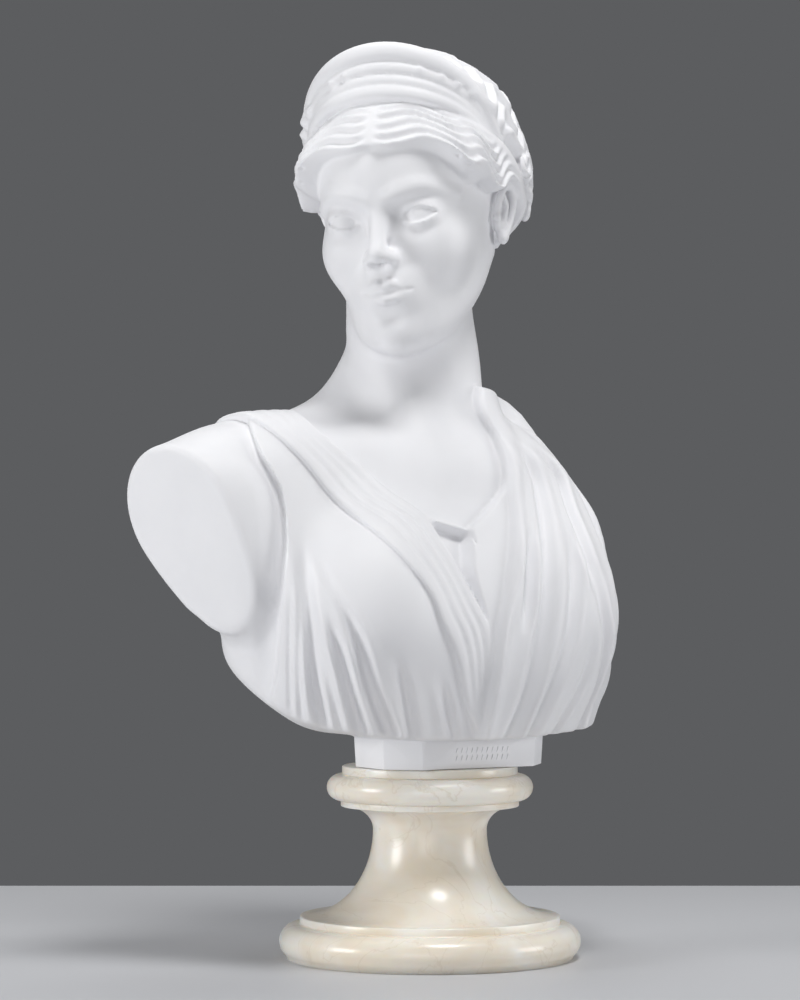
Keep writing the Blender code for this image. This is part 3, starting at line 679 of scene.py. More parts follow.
    @staticmethod
    def beyond(p: Array, edge: Edge) -> Array:
        """Gives the distance past an edge towards +X, in the front view."""
        line = smooth_line(edge, 5)
        lean = np.interp(p[:, 2], line[:, 0], np.gradient(line[:, 1], line[:, 0]))
        return (p[:, 0] - np.interp(p[:, 2], line[:, 0], line[:, 1])) / np.hypot(1, lean)

    def along_arm(self, p: Array) -> Array:
        """Gives points with x counted along the turned line, which holds for the front and the flank."""
        turn = math.radians(self.armhole_turn)
        across = p[:, 0] * math.cos(turn) - np.minimum(p[:, 1], 5) * math.sin(turn)
        return np.column_stack((across, p[:, 1:]))

    def relief(self, p: Array, folds: tuple[Fold, ...]) -> Array:
        """Gives the height of folds that fade out at their ends, but run to the hem."""
        z = p[:, 2]
        relief = np.zeros(len(p))
        for fold in folds:
            low, top = fold.line[0][0], fold.line[-1][0]
            fade = ramp(z, top + 4, top - 22)
            if low > 14:
                fade = fade * ramp(z, low - 4, low + 22)
            relief += fade * fold.depth * crease(self.beyond(p, fold.line) / fold.half)
        return relief

    def mantle_relief(self, p: Array) -> Array:
        """Gives the height of the mantle's folds, in front and behind."""
        x, y, z = p.T
        across = (0.75 * (z + 126 - x) + 12 * np.sin(0.04 * (z + 126))) / 26
        back = 5 * strands(across) * (0.7 + 0.3 * np.sin(2.1 * np.floor(across))) - 3
        return self.relief(p, self.folds) * ramp(-y, -30, 0) + back * ramp(y, 20, 50)

    def sunk(self, p: Array, bare: Array, armhole: Array) -> Array:
        """Sinks the body beside the armhole, and the pocket between band and flap under the throat.

        Args:
            p: Points of the figure.
            bare: The bare torso there.
            armhole: Distance outside the armhole's edge.

        Returns:
            The torso with both hollows.
        """
        x, y, z = p.T
        side = ramp(armhole, 0.3, 2) * ramp(armhole, 16, 5) * ramp(z, 175, 150) * ramp(-y, -40, -20)
        hollow = ramp(np.minimum(self.beyond(p, self.band_upper) / 2.5, -self.beyond(p, self.flap)), 0, 3)
        (low, corner), (high, end) = self.neckline_right[0], self.neckline_right[2]
        rim = np.interp(x, (end, corner), (high, low))
        hollow = hollow * ramp(rim - z, 1, 6) * ramp(-y, 0, 10)
        return bare + self.side_depth * side + self.hollow_depth * hollow

    def dress(self, p: Array, bare: Array) -> Array:
        """Dresses the bare form.

        Args:
            p: Points of the figure.
            bare: The bare torso there.

        Returns:
            The form with chiton, band, flap and mantle.
        """
        x, y, z = p.T
        aside = self.along_arm(p)
        armhole = -self.beyond(aside, self.armhole)
        outwards = self.shoulder_normal[0] * (aside[:, 0] - self.shoulder_point[0])
        slope = outwards + self.shoulder_normal[1] * (z - self.shoulder_point[1]) + self.cloth_room
        slope = slope - 60 * ramp(z, *self.shoulder_top)
        bare = clip(bare, np.where(x > 0, slope, -80), 8)
        bare = self.sunk(p, bare, armhole)
        throat = np.minimum(self.beyond(p, self.neckline_right), -self.beyond(p, self.neckline_left))
        nape = self.nape + 0.004 * (x + 30) ** 2
        throat = np.where(y < 20, np.minimum(throat, z - self.throat), z - nape)
        collar = z - self.collar + 0.1 * x
        lower, upper = self.beyond(p, self.band_lower), self.beyond(p, self.band_upper)
        inside = ramp(-armhole, 0, 4) * ramp(-lower, 0, 4) * ramp(-y, -12, 14) * ramp(z, 125, 35)
        fan = self.relief(aside, self.fan) * inside
        area = np.maximum(np.maximum(armhole, throat), collar)
        chiton = clip(bare - self.chiton_thick - fan, area, 1.5)
        width = np.maximum(lower - upper, 4)
        places = [(lower - share * width) / self.groove_half for share in self.band_grooves]
        grooves = sum(np.exp(-(place**2)) for place in places)
        area = np.maximum(np.maximum(-lower, upper), np.maximum(armhole, y - 40))
        depth = self.groove_depth * ramp(width, 7, 14) * (1 - 0.5 * ramp(z, 120, 160))
        band = clip(bare - self.band_thick + 3.6 * ramp(y, 0, 35) + depth * grooves, area, 2)
        from_rim = self.beyond(p, self.mantle)
        area = np.maximum(np.maximum(-self.beyond(p, self.flap), from_rim - 6), throat)
        flap = clip(bare - self.flap_thick, np.maximum(np.maximum(area, y), z - 146), 2)
        area = np.where(y < 20, -from_rim, np.maximum(-self.beyond(p, self.mantle_back), -88 - x))
        thick = self.mantle_thick + self.mantle_fuller * ramp(x, 30, 90)
        thick = thick + self.rim * np.exp(-(((from_rim - 4) / 4) ** 2)) * ramp(z, 175, 145)
        mantle = clip(bare - thick - self.mantle_relief(p), np.maximum(area, collar - 6), 4)
        cloth = merge(merge(merge(chiton, band, 1.2), flap, 1.2), mantle, 1.5)
        clay = Clay(p, merge(bare, cloth, 0.8), self.reach)
        for roll in self.rolls:
            clay.roll(roll.points, roll.radii, roll.soft)
        return clay.form


@dataclass(frozen=True)
class CastMarble:
    """White cast marble: stone dust bound and cast, left matt, so light spreads a little under fine grain.

    Attributes:
        pale: Colour of the body.
        shaded: Colour of its faint clouds.
        cloud_mm: Size of a cloud.
        grain_mm: Size of the grain. The real one, near 0.1 mm, is too fine to show.
        roughness: Roughness of the skin.
        scatter_mm: How far light spreads under it.
    """

    pale: str = "#F0F0F2"
    shaded: str = "#E6E6E9"
    cloud_mm: float = 40
    grain_mm: float = 0.6
    roughness: float = 0.52
    scatter_mm: float = 1.2

    def material(self) -> bpy.types.Material:
        """Builds the material."""
        material, shader, coordinates = new_material("cast marble, matt")
        tree = material.node_tree
        clouds = add_node(
            tree, "ShaderNodeTexNoise", {},
            {"Vector": coordinates, "Scale": 1 / (self.cloud_mm * MM), "Detail": 3},
        )
        tint = add_node(
            tree, "ShaderNodeMix", {"data_type": "RGBA"},
            {"Factor": clouds.outputs["Fac"], 6: linear(self.shaded), 7: linear(self.pale)},
        )
        tree.links.new(tint.outputs[2], shader.inputs["Base Color"])
        grain = add_node(
            tree, "ShaderNodeTexNoise", {},
            {"Vector": coordinates, "Scale": 1 / (self.grain_mm * MM), "Detail": 2},
        )
        least, most = self.roughness - 0.05, self.roughness + 0.05
        uneven = add_node(
            tree, "ShaderNodeMapRange", {}, {"Value": clouds.outputs["Fac"], "To Min": least, "To Max": most}
        )
        tree.links.new(uneven.outputs[0], shader.inputs["Roughness"])
        bump = add_node(
            tree, "ShaderNodeBump", {},
            {"Height": grain.outputs["Fac"], "Strength": 0.25, "Distance": 0.03 * MM},
        )
        tree.links.new(bump.outputs[0], shader.inputs["Normal"])
        shader.inputs["IOR"].default_value = 1.5
        shader.inputs["Specular IOR Level"].default_value = 0.35
        shader.inputs["Subsurface Weight"].default_value = 0.12
        shader.inputs["Subsurface Radius"].default_value = (1.0, 0.95, 0.9)
        shader.inputs["Subsurface Scale"].default_value = self.scatter_mm * MM
        return material


@dataclass(frozen=True)
class Alabaster:
    """Ivory alabaster, turned and polished: cloudy and waxy, with light deep in it and a clear gloss.

    Attributes:
        milk: Colour of the pale clouds.
        honey: Colour of the warm depths between them.
        vein: Colour of the thin veins.
        cloud_mm: Size of a cloud.
        vein_mm: Distance between veins.
        roughness: Roughness of the polish.
        scatter_mm: How far light spreads under it.
    """

    milk: str = "#F6F2EA"
    honey: str = "#EDE3D2"
    vein: str = "#D9CCB8"
    cloud_mm: float = 48
    vein_mm: float = 60
    roughness: float = 0.24
    scatter_mm: float = 9

    def material(self) -> bpy.types.Material:
        """Builds the material."""
        material, shader, coordinates = new_material("alabaster, polished")
        tree = material.node_tree
        clouds = add_node(
            tree, "ShaderNodeTexNoise", {},
            {"Vector": coordinates, "Scale": 1 / (self.cloud_mm * MM), "Detail": 4, "Distortion": 0.8},
        )
        spread = add_node(
            tree, "ShaderNodeMapRange", {},
            {"Value": clouds.outputs["Fac"], "From Min": 0.35, "From Max": 0.65},
        )
        tint = add_node(
            tree, "ShaderNodeMix", {"data_type": "RGBA"},
            {"Factor": spread.outputs[0], 6: linear(self.honey), 7: linear(self.milk)},
        )
        drift = add_node(
            tree, "ShaderNodeTexNoise", {},
            {"Vector": coordinates, "Scale": 1 / (self.vein_mm * MM), "Detail": 6, "Distortion": 1.6},
        )
        off_line = add_node(
            tree, "ShaderNodeMath", {"operation": "SUBTRACT"}, {0: drift.outputs["Fac"], 1: 0.5}
        )
        distance = add_node(tree, "ShaderNodeMath", {"operation": "ABSOLUTE"}, {0: off_line.outputs[0]})
        line = add_node(
            tree, "ShaderNodeMapRange", {},
            {"Value": distance.outputs[0], "From Min": 0, "From Max": 0.012, "To Min": 0.35, "To Max": 0},
        )
        veined = add_node(
            tree, "ShaderNodeMix", {"data_type": "RGBA"},
            {"Factor": line.outputs[0], 6: tint.outputs[2], 7: linear(self.vein)},
        )
        tree.links.new(veined.outputs[2], shader.inputs["Base Color"])
        least, most = self.roughness - 0.06, self.roughness + 0.06
        uneven = add_node(
            tree, "ShaderNodeMapRange", {}, {"Value": clouds.outputs["Fac"], "To Min": least, "To Max": most}
        )
        tree.links.new(uneven.outputs[0], shader.inputs["Roughness"])
        shader.inputs["IOR"].default_value = 1.52
        shader.inputs["Subsurface Weight"].default_value = 0.6
        shader.inputs["Subsurface Radius"].default_value = (1.0, 0.8, 0.6)
        shader.inputs["Subsurface Scale"].default_value = self.scatter_mm * MM
        return material


@dataclass(frozen=True)
class Paint:
    """A plain matt finish for the studio table.

    Attributes:
        name: Name of the material.
        colour: Its colour.
        roughness: Its roughness.
    """

    name: str
    colour: str
    roughness: float

    def material(self) -> bpy.types.Material:
        """Builds the material."""
        material, shader, _ = new_material(self.name)
        shader.inputs["Base Color"].default_value = linear(self.colour)
        shader.inputs["Roughness"].default_value = self.roughness
        return material


def linear(colour: str) -> tuple[float, float, float, float]:
    """Turns an sRGB hex colour to linear, with full alpha."""
    parts = [int(colour[i : i + 2], 16) / 255 for i in (1, 3, 5)]
    return (*[c / 12.92 if c <= 0.04045 else ((c + 0.055) / 1.055) ** 2.4 for c in parts], 1.0)


def new_material(name: str) -> tuple[bpy.types.Material, bpy.types.Node, bpy.types.NodeSocket]:
    """Starts a material.

    Args:
        name: Its name.

    Returns:
        The material, its Principled shader and the object's own coordinates.
    """
    material = bpy.data.materials.new(name)
    material.use_nodes = True
    shader = material.node_tree.nodes["Principled BSDF"]
    coordinates = add_node(material.node_tree, "ShaderNodeTexCoord", {}, {})
    return material, shader, coordinates.outputs["Object"]


def add_node(
    tree: bpy.types.NodeTree, kind: str, settings: dict[str, Any], inputs: dict[str | int, Any]
) -> bpy.types.Node:
    """Adds a node with its settings and links.

    Args:
        tree: Where it goes.
        kind: The node's type.
        settings: Its properties by name.
        inputs: For each input, by name or number, a value or a socket to link.

    Returns:
        The node.
    """
    node = tree.nodes.new(kind)
    for name, value in settings.items():
        setattr(node, name, value)
    for key, value in inputs.items():
        if isinstance(value, bpy.types.NodeSocket):
            tree.links.new(value, node.inputs[key])
        else:
            node.inputs[key].default_value = value
    return node


@dataclass(frozen=True)
class Skin:
    """A form made a mesh.

    Attributes:
        low: Lowest corner of the space that holds the form.
        high: Highest corner.
        spacing: Distance between the samples.
        side: Samples along a cell, which is worked at once.
        threads: Cells worked at the same time.
    """

    low: Point
    high: Point
    spacing: float
    side: int = 4
    threads: int = 4

    def mesh(self, form: Callable[[Array], Array]) -> tuple[Array, Array]:
        """Meshes the surface where a form is zero, sampled near that surface only.

        Args:
            form: Gives the form's distance at points.

        Returns:
            The mesh's points and quads.
        """
        side, gap = self.side, self.spacing
        counts = np.ceil((np.array(self.high) - self.low) / (side * gap)).astype(int)
        cells = side * np.stack(np.meshgrid(*map(np.arange, counts), indexing="ij"), -1).reshape(-1, 3)
        middle = self.sample(form, self.low + (cells + (side - 1) / 2) * gap)
        grid = np.repeat(middle.reshape(counts), side, 0).repeat(side, 1).repeat(side, 2)
        steps = np.stack(np.meshgrid(*[np.arange(side)] * 3, indexing="ij"), -1).reshape(-1, 3)
        near = cells[np.abs(middle) < 2 * side * gap]
        index = (near[:, None] + steps).reshape(-1, 3)
        grid[tuple(index.T)] = self.sample(form, self.low + index * gap)
        volume = openvdb.FloatGrid(3 * gap)
        volume.copyFromArray(np.clip(grid, -3 * gap, 3 * gap).astype(np.float32))
        points, _, quads = volume.convertToPolygons(isovalue=0)
        return points * gap + self.low, self.largest(len(points), quads)

    def sample(self, form: Callable[[Array], Array], points: Array) -> Array:
        """Reads a form at many points, in lots worked side by side."""
        lots = np.array_split(read(points), max(1, len(points) // 60000))
        with ThreadPoolExecutor(self.threads) as pool:
            return np.concatenate(list(pool.map(form, lots)))

    @staticmethod
    def largest(count: int, quads: Array) -> Array:
        """Keeps the quads of the largest connected surface, which leaves out specks and pores."""
        label = np.arange(count)
        joined = False
        while not joined:
            lowest = label.copy()
            least = label[quads].min(1)
            for corner in quads.T:
                np.minimum.at(lowest, corner, least)
            lowest = lowest[lowest]
            joined = np.array_equal(lowest, label)
            label = lowest
        main = np.bincount(label[quads[:, 0]]).argmax()
        return quads[label[quads[:, 0]] == main]


def select_only(piece: bpy.types.Object) -> None:
    """Makes a piece the one selected and active object."""
    bpy.ops.object.select_all(action="DESELECT")
    piece.select_set(True)
    bpy.context.view_layer.objects.active = piece


def apply_modifiers(piece: bpy.types.Object) -> None:
    """Applies all of a piece's modifiers."""
    select_only(piece)
    for modifier in list(piece.modifiers):
        bpy.ops.object.modifier_apply(modifier=modifier.name)


def finish_piece(piece: bpy.types.Object, name: str, material: bpy.types.Material) -> None:
    """Puts a piece's place in its mesh, names it and gives it its one finish."""
    select_only(piece)
    bpy.ops.object.transform_apply(location=True, rotation=True, scale=True)
    piece.name = name
    piece.data.name = name
    piece.data.materials.clear()
    piece.data.materials.append(material)


@dataclass
class Bust:
    """The figure and the small chamfered block under it, cast in one.

    Attributes:
        foot: Height of the block's underside, in metres.
        block_width: The block along X, at its foot.
        block_depth: The block along Y, at its foot.
        block_height: The block's height up to the figure's underside.
        block_chamfer: Chamfer of its upright edges.
        block_flare: How far its sides lean out, in degrees.
        block_centre: Its centre in plan.
        block_root: How far it runs up into the figure.
        edge_round: Rounding of the block's cast edges.
        marks: Strokes in each row of the mark on the block's front.
        mark_rows: Height of each row over the block's foot.
        mark_from: The first stroke's x.
        mark_step: Distance between strokes.
        mark_size: A stroke's width, twice its depth, and its height.
        mark_slant: Lean of the strokes, in degrees.
        arm_cut: A point of the cut arm's flat face.
        arm_cut_normal: Which way that face looks.
        flank_centre: Middle of the round that the flanks follow.
        flank_right: Radii of that round on the figure's right.
        flank_left: Its radii on the left.
        dress_top: Height under which the torso is dressed.
        head_foot: Height over which the head is joined.
        root_top: Height under which the block's root is joined.
        seam: The softness of those joints.
        space: Lowest and highest corner of the space that holds the figure.
        spacing_mm: Grid on which the figure is carved.
        triangles: What the figure is thinned to.
        head: The head.
        torso: The bare torso.
        drapery: The dress.
        finish: The marble.
    """

    foot: float
    block_width: float = 0.106
    block_depth: float = 0.062
    block_height: float = 0.0167
    block_chamfer: float = 0.016
    block_flare: float = 3
    block_centre: tuple[float, float] = (0.006, -0.011)
    block_root: float = 0.002
    edge_round: float = 0.0006
    marks: int = 11
    mark_rows: tuple[float, ...] = (0.0062, 0.0104)
    mark_from: float = -0.0095
    mark_step: float = 0.0034
    mark_size: tuple[float, float, float] = (0.0007, 0.0009, 0.0030)
    mark_slant: float = 18
    arm_cut: Point = (-153, 12, 115)
    arm_cut_normal: Point = (-0.90, -0.30, -0.28)
    flank_centre: Point = (0, -30, 119)
    flank_right: Point = (160, 160, 135)
    flank_left: Point = (215, 160, 135)
    dress_top: float = 215
    head_foot: float = 189
    root_top: float = 25
    seam: float = 6
    space: tuple[Point, Point] = ((-185, -115, -8), (150, 130, 404))
    spacing_mm: float = 1.0
    triangles: int = 190000
    head: Head = field(default_factory=Head)
    torso: Torso = field(default_factory=Torso)
    drapery: Drapery = field(default_factory=Drapery)
    finish: CastMarble = field(default_factory=CastMarble)

    def trimmed(self, p: Array, form: Array) -> Array:
        """Cuts the arm flat, rounds the flanks and finishes the plain underside."""
        x, z = p[:, 0], p[:, 2]
        normal = np.array(self.arm_cut_normal)
        cut = (p - read(self.arm_cut)) @ read(normal / np.linalg.norm(normal))
        form = clip(form, cut, 4)
        radii = np.where((x < 0)[:, None], read(self.flank_right), read(self.flank_left))
        flank = ellipsoid(p, self.flank_centre, radii)
        upward = ramp(z, 64, self.flank_centre[2])
        form = clip(form, flank * (1 - upward) - 80 * upward, 4)
        return clip(form, np.where(x < 0, -1.2e-5 * x**3, 3e-4 * x**2) - z, 3)

    def root(self, p: Array) -> Array:
        """Gives the soft root that joins the underside to the block."""
        x = np.abs(p[:, 0] - self.block_centre[0] / MM)
        y = np.abs(p[:, 1] - self.block_centre[1] / MM)
        a = self.block_width / 2 / MM - 1
        b = self.block_depth / 2 / MM - 1
        corner = (x + y - a - b + self.block_chamfer / MM) / math.sqrt(2)
        return np.maximum(np.maximum(np.maximum(x - a, y - b), corner), np.abs(p[:, 2] - 1) - 4)

    def form(self, p: Array) -> Array:
        """Gives the whole figure at points counted in millimetres from the top of the block."""
        form = self.torso.form(p)
        dressed = np.flatnonzero(p[:, 2] < self.dress_top)
        if len(dressed):
            form[dressed] = self.trimmed(p[dressed], self.drapery.dress(p[dressed], form[dressed]))
        upper = np.flatnonzero(p[:, 2] > self.head_foot)
        if len(upper):
            form[upper] = merge(form[upper], self.head.form(p[upper]), self.seam)
        lower = np.flatnonzero(p[:, 2] < self.root_top)
        if len(lower):
            form[lower] = merge(form[lower], self.root(p[lower]), self.seam)
        return form

    def carve_figure(self) -> bpy.types.Object:
        """Makes the figure's mesh and thins it where it is plain."""
        points, quads = Skin(*self.space, self.spacing_mm).mesh(self.form)
        used, faces = np.unique(quads, return_inverse=True)
        mesh = bpy.data.meshes.new("figure")
        mesh.vertices.add(len(used))
        mesh.vertices.foreach_set("co", (points[used] * MM).astype(np.float32).ravel())
        mesh.loops.add(quads.size)
        mesh.loops.foreach_set("vertex_index", faces.astype(np.int32).ravel())
        mesh.polygons.add(len(quads))
        mesh.polygons.foreach_set("loop_start", np.arange(0, quads.size, 4, dtype=np.int32))
        mesh.update(calc_edges=True)
        figure = bpy.data.objects.new("figure", mesh)
        bpy.context.scene.collection.objects.link(figure)
        figure.location.z = self.foot + self.block_height
        fewer = figure.modifiers.new("Fewer faces", "DECIMATE")
        fewer.ratio = min(1, self.triangles / (2 * len(quads)))
        apply_modifiers(figure)
        return figure

    def cast_block(self) -> bpy.types.Object:
        """Models the block: a cube, its upright edges chamfered, flared and its edges just rounded."""
        height = self.block_height + self.block_root
        bpy.ops.object.select_all(action="DESELECT")
        centre = (*self.block_centre, self.foot + height / 2)
        size = (self.block_width, self.block_depth, height)
        bpy.ops.mesh.primitive_cube_add(size=1, location=centre, scale=size)
        block = bpy.context.object
        bpy.ops.object.transform_apply(location=True, rotation=True, scale=True)
        bpy.ops.object.mode_set(mode="EDIT")
        bpy.ops.mesh.select_mode(type="EDGE")
        bpy.ops.mesh.select_all(action="DESELECT")
        shape = bmesh.from_edit_mesh(block.data)
        for edge in shape.edges:
            edge.select_set(abs(edge.verts[0].co.z - edge.verts[1].co.z) > height / 2)
        bmesh.update_edit_mesh(block.data)
        bpy.ops.mesh.bevel(offset=self.block_chamfer, segments=1)
        bpy.ops.mesh.select_all(action="DESELECT")
        top = self.foot + height
        shape = bmesh.from_edit_mesh(block.data)
        for edge in shape.edges:
            edge.select_set(all(abs(vert.co.z - top) < 1e-5 for vert in edge.verts))
        bmesh.update_edit_mesh(block.data)
        grown = height * math.tan(math.radians(self.block_flare))
        factors = (1 + 2 * grown / self.block_width, 1 + 2 * grown / self.block_depth, 1)
        bpy.ops.transform.resize(value=factors, center_override=(*self.block_centre, top))
        bpy.ops.object.mode_set(mode="OBJECT")
        rounded = block.modifiers.new("Cast edges", "BEVEL")
        rounded.width = self.edge_round
        rounded.segments = 2
        strokes = self.strokes()
        cut = block.modifiers.new("Strokes", "BOOLEAN")
        cut.operation = "DIFFERENCE"
        cut.solver = "EXACT"
        cut.object = strokes
        apply_modifiers(block)
        bpy.data.objects.remove(strokes)
        return block

    def strokes(self) -> bpy.types.Object:
        """Models rows of short slanting strokes, half sunk in the block's leaning front face."""
        bpy.ops.object.select_all(action="DESELECT")
        lean = math.radians(self.block_flare)
        made = []
        for row in self.mark_rows:
            face = self.block_centre[1] - self.block_depth / 2 - row * math.tan(lean)
            for index in range(self.marks):
                place = (self.mark_from + index * self.mark_step, face, self.foot + row)
                turn = (-lean, math.radians(self.mark_slant), 0)
                bpy.ops.mesh.primitive_cube_add(size=1, location=place, rotation=turn, scale=self.mark_size)
                made.append(bpy.context.object)
        for stroke in made:
            stroke.select_set(True)
        bpy.ops.object.join()
        return bpy.context.object

    def build(self) -> bpy.types.Object:
        """Makes the bust as one piece.

        Returns:
            The piece.
        """
        figure = self.carve_figure()
        block = self.cast_block()
        union = figure.modifiers.new("Block", "BOOLEAN")
        union.operation = "UNION"
        union.solver = "EXACT"
        union.object = block
        apply_modifiers(figure)
        bpy.data.objects.remove(block)
        finish_piece(figure, "goddess_bust", self.finish.material())
        select_only(figure)
        bpy.ops.object.shade_smooth_by_angle(angle=math.radians(45))
        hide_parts("bust")
        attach(figure, "root")
        return figure


@dataclass
class Socle:
    """The turned alabaster foot.

    Attributes:
        height: Overall height, in metres.
        foot_radius: Radius of the lower roll.
        foot_roll: Height of the lower roll.
        bearing_inset: How far the flat underside stands back from the lower roll.
        step_radius: Radius of the step over it.
        step_height: Height of that step.
        flare_inset: How far the hollow's edges stand back.
        waist_radius: Radius at the waist.
        waist_height: Height of the waist.
        necking_radius: Radius of the fillet under the upper roll.
        necking_height: Height of that fillet.
        cap_radius: Radius of the upper roll.
        cap_roll: Height of the upper roll.
        disc_radius: Radius of the disc on top.
        disc_height: Height of that disc.
        ease: Rounding of the small edges.
        segments: Steps round the axis.
        finish: The alabaster.
    """

    height: float
    foot_radius: float = 0.0857
    foot_roll: float = 0.0195
    bearing_inset: float = 0.0047
    step_radius: float = 0.0740
    step_height: float = 0.0045
    flare_inset: float = 0.0017
    waist_radius: float = 0.0324
    waist_height: float = 0.0730
    necking_radius: float = 0.0507
    necking_height: float = 0.0035
    cap_radius: float = 0.0587
    cap_roll: float = 0.0145
    disc_radius: float = 0.0500
    disc_height: float = 0.0050
    ease: float = 0.0005
    segments: int = 128
    finish: Alabaster = field(default_factory=Alabaster)

    @staticmethod
    def arc(
        centre: tuple[float, float], radii: tuple[float, float], start: float, end: float, count: int
    ) -> list[tuple[float, float]]:
        """Draws an elliptic arc.

        Args:
            centre: Its centre, as radius and height.
            radii: Its radii, level and upright.
            start: Where it starts, in degrees from outwards towards up.
            end: Where it ends.
            count: How many points it has.

        Returns:
            Its points, as radius and height.
        """
        angles = np.radians(np.linspace(start, end, count))
        return [(centre[0] + radii[0] * math.cos(a), centre[1] + radii[1] * math.sin(a)) for a in angles]

    def profile(self) -> list[tuple[float, float]]:
        """Gives radius and height pairs down the outside, from the rim of the top disc."""
        disc_foot = self.height - self.disc_height
        cap_foot = disc_foot - self.cap_roll
        necking_foot = cap_foot - self.necking_height
        step_top = self.foot_roll + self.step_height
        edge = self.disc_height / 5
        ease = self.ease
        cap = (self.cap_radius - self.cap_roll / 2, self.cap_roll / 2)
        foot = (self.foot_radius - self.foot_roll / 2, self.foot_roll / 2)
        throat = self.necking_radius - self.flare_inset
        flare = self.step_radius - self.flare_inset
        points = self.arc((self.disc_radius - edge, self.height - edge), (edge, edge), 90, 0, 5)
        points += [(self.disc_radius, disc_foot + ease), (self.disc_radius - ease, disc_foot)]
        points += self.arc((cap[0], cap_foot + cap[1]), (cap[1], cap[1]), 88, -88, 25)
        points += self.arc((self.necking_radius - ease, cap_foot - ease), (ease, ease), 80, 0, 3)
        points += self.arc((self.necking_radius - ease, necking_foot + ease), (ease, ease), 0, -80, 3)
        hollow = (throat - self.waist_radius, necking_foot - self.waist_height)
        points += self.arc((throat, self.waist_height), hollow, 90, 180, 16)
        sweep = (flare - self.waist_radius, self.waist_height - step_top)
        points += self.arc((flare, self.waist_height), sweep, 180, 270, 26)[1:]
        points += self.arc((self.step_radius - ease, step_top - ease), (ease, ease), 80, 0, 3)
        points += [(self.step_radius, self.foot_roll + ease), (self.step_radius + ease, self.foot_roll)]
        points += self.arc((foot[0], foot[1]), (foot[1], foot[1]), 82, -50, 22)
        points += [(self.foot_radius - self.bearing_inset, 0)]
        return points

    def build(self) -> bpy.types.Object:
        """Models the socle: a disc whose rim is drawn down and scaled ring by ring, then closed.

        Returns:
            The piece.
        """
        points = self.profile()
        bpy.ops.object.select_all(action="DESELECT")
        radius, level = points[0]
        bpy.ops.mesh.primitive_circle_add(
            vertices=self.segments, radius=radius, fill_type="NGON", location=(0, 0, level)
        )
        socle = bpy.context.object
        bpy.ops.object.transform_apply(location=True, rotation=True, scale=True)
        bpy.ops.object.mode_set(mode="EDIT")
        bpy.ops.mesh.select_mode(type="EDGE")
        bpy.ops.mesh.select_all(action="SELECT")
        bpy.ops.mesh.region_to_loop()
        for wider, lower in points[1:]:
            bpy.ops.mesh.extrude_edges_move(TRANSFORM_OT_translate={"value": (0, 0, lower - level)})
            scale = wider / radius
            bpy.ops.transform.resize(value=(scale, scale, 1), center_override=(0, 0, lower))
            radius, level = wider, lower
        bpy.ops.mesh.edge_face_add()
        bpy.ops.mesh.select_all(action="SELECT")
        bpy.ops.mesh.normals_make_consistent(inside=False)
        bpy.ops.object.mode_set(mode="OBJECT")
        finish_piece(socle, "alabaster_socle", self.finish.material())
        bpy.ops.object.shade_smooth_by_angle(angle=math.radians(40))
        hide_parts("socle")
        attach(socle, "root")
        return socle


@dataclass(frozen=True)
class Lamp:
    """A square studio lamp that faces the bust.

    Attributes:
        name: Its name.
        place: Right of the camera's line, towards the camera, and up, in metres.
        size: Its side.
        power: Its power in watts.
    """

    name: str
    place: Point
    size: float
    power: float


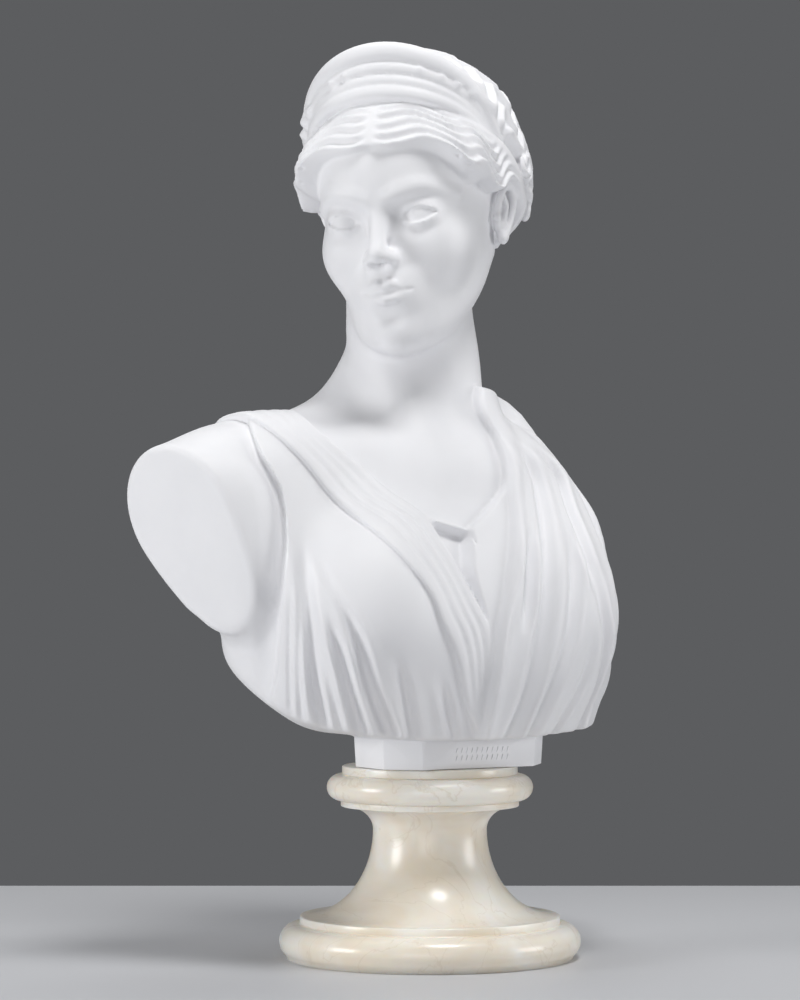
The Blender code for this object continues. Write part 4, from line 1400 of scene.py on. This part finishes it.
@dataclass
class Studio:
    """A pale table before a grey room, soft lamps, and the camera.

    Attributes:
        azimuth: Where the camera stands round the bust, in degrees from the front.
        distance: From the bust's axis, in metres.
        eye: Height of the camera.
        aim: Height it looks at.
        aside: How far it aims to the left of the axis.
        lens: Focal length on a 36 mm frame, in millimetres.
        table_behind: How far the table runs behind the axis.
        table_before: How far it runs before it.
        table_half: Half its width.
        table_thick: Its thickness.
        table_finish: Its finish.
        room: Colour of the room.
        lamps: The lamps.
        lamp_aim: Height on the axis that they face.
    """

    azimuth: float = -32
    distance: float = 1.9
    eye: float = 0.228
    aim: float = 0.26
    aside: float = 0.017
    lens: float = 120
    table_behind: float = 0.41
    table_before: float = 1.2
    table_half: float = 1.6
    table_thick: float = 0.03
    table_finish: Paint = Paint("lacquered board, pale grey", "#CCCDD0", 0.5)
    room: str = "#5C5D5F"
    lamps: tuple[Lamp, ...] = (
        Lamp("key", (0.25, 0.6, 1.75), 0.45, 16),
        Lamp("front", (-0.3, 2.2, 0.25), 1, 9),
        Lamp("left", (-1.3, 0.5, 0.4), 0.5, 8.5),
        Lamp("right", (1.3, 0.2, 0.35), 0.5, 5),
        Lamp("top", (0, -0.4, 1.4), 0.6, 4),
    )
    lamp_aim: float = 0.3

    def across(self) -> Vector:
        """Gives the direction to the camera's right."""
        return Vector((math.cos(math.radians(self.azimuth)), math.sin(math.radians(self.azimuth)), 0))

    def towards(self) -> Vector:
        """Gives the level direction from the bust to the camera."""
        return Vector((math.sin(math.radians(self.azimuth)), -math.cos(math.radians(self.azimuth)), 0))

    def set_camera(self) -> None:
        """Sets the camera at the photograph's angle."""
        camera = bpy.data.objects.new("camera", bpy.data.cameras.new("camera"))
        bpy.context.scene.collection.objects.link(camera)
        shift = self.across() * -self.aside
        target = shift + Vector((0, 0, self.aim))
        camera.location = shift + self.towards() * self.distance + Vector((0, 0, self.eye))
        camera.rotation_euler = (target - camera.location).to_track_quat("-Z", "Y").to_euler()
        camera.data.sensor_fit = "VERTICAL"
        camera.data.sensor_height = 36
        camera.data.lens = self.lens
        bpy.context.scene.camera = camera

    def lay_table(self) -> None:
        """Lays the table square to the camera."""
        bpy.ops.object.select_all(action="DESELECT")
        depth = self.table_behind + self.table_before
        centre = self.towards() * (self.table_before - self.table_behind) / 2
        bpy.ops.mesh.primitive_cube_add(
            size=1,
            location=(centre.x, centre.y, -self.table_thick / 2),
            rotation=(0, 0, math.radians(self.azimuth)),
            scale=(2 * self.table_half, depth, self.table_thick),
        )
        table = bpy.context.object
        finish_piece(table, "table", self.table_finish.material())

    def hang(self, lamp: Lamp) -> None:
        """Hangs a lamp."""
        light = bpy.data.lights.new(lamp.name, "AREA")
        light.energy = lamp.power
        light.size = lamp.size
        hung = bpy.data.objects.new(lamp.name, light)
        bpy.context.scene.collection.objects.link(hung)
        right, near, up = lamp.place
        hung.location = self.across() * right + self.towards() * near + Vector((0, 0, up))
        facing = Vector((0, 0, self.lamp_aim)) - hung.location
        hung.rotation_euler = facing.to_track_quat("-Z", "Y").to_euler()

    def build(self) -> None:
        """Sets up the table, the lamps, the room and the camera."""
        self.set_camera()
        self.lay_table()
        for lamp in self.lamps:
            self.hang(lamp)
        world = bpy.data.worlds.new("room")
        world.use_nodes = True
        world.node_tree.nodes["Background"].inputs[0].default_value = linear(self.room)
        bpy.context.scene.world = world
        bpy.context.scene.view_settings.view_transform = "Standard"


def main() -> None:
    """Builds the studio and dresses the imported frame."""
    logging.basicConfig(level=logging.INFO, format="%(message)s")
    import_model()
    Studio().build()
    pieces = [Bust(foot=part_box("bust")[0].z).build(), Socle(height=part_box("socle")[1].z).build()]
    for piece in pieces:
        LOG.info("%s: %d faces", piece.name, len(piece.data.polygons))
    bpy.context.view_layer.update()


if __name__ == "__main__":
    main()
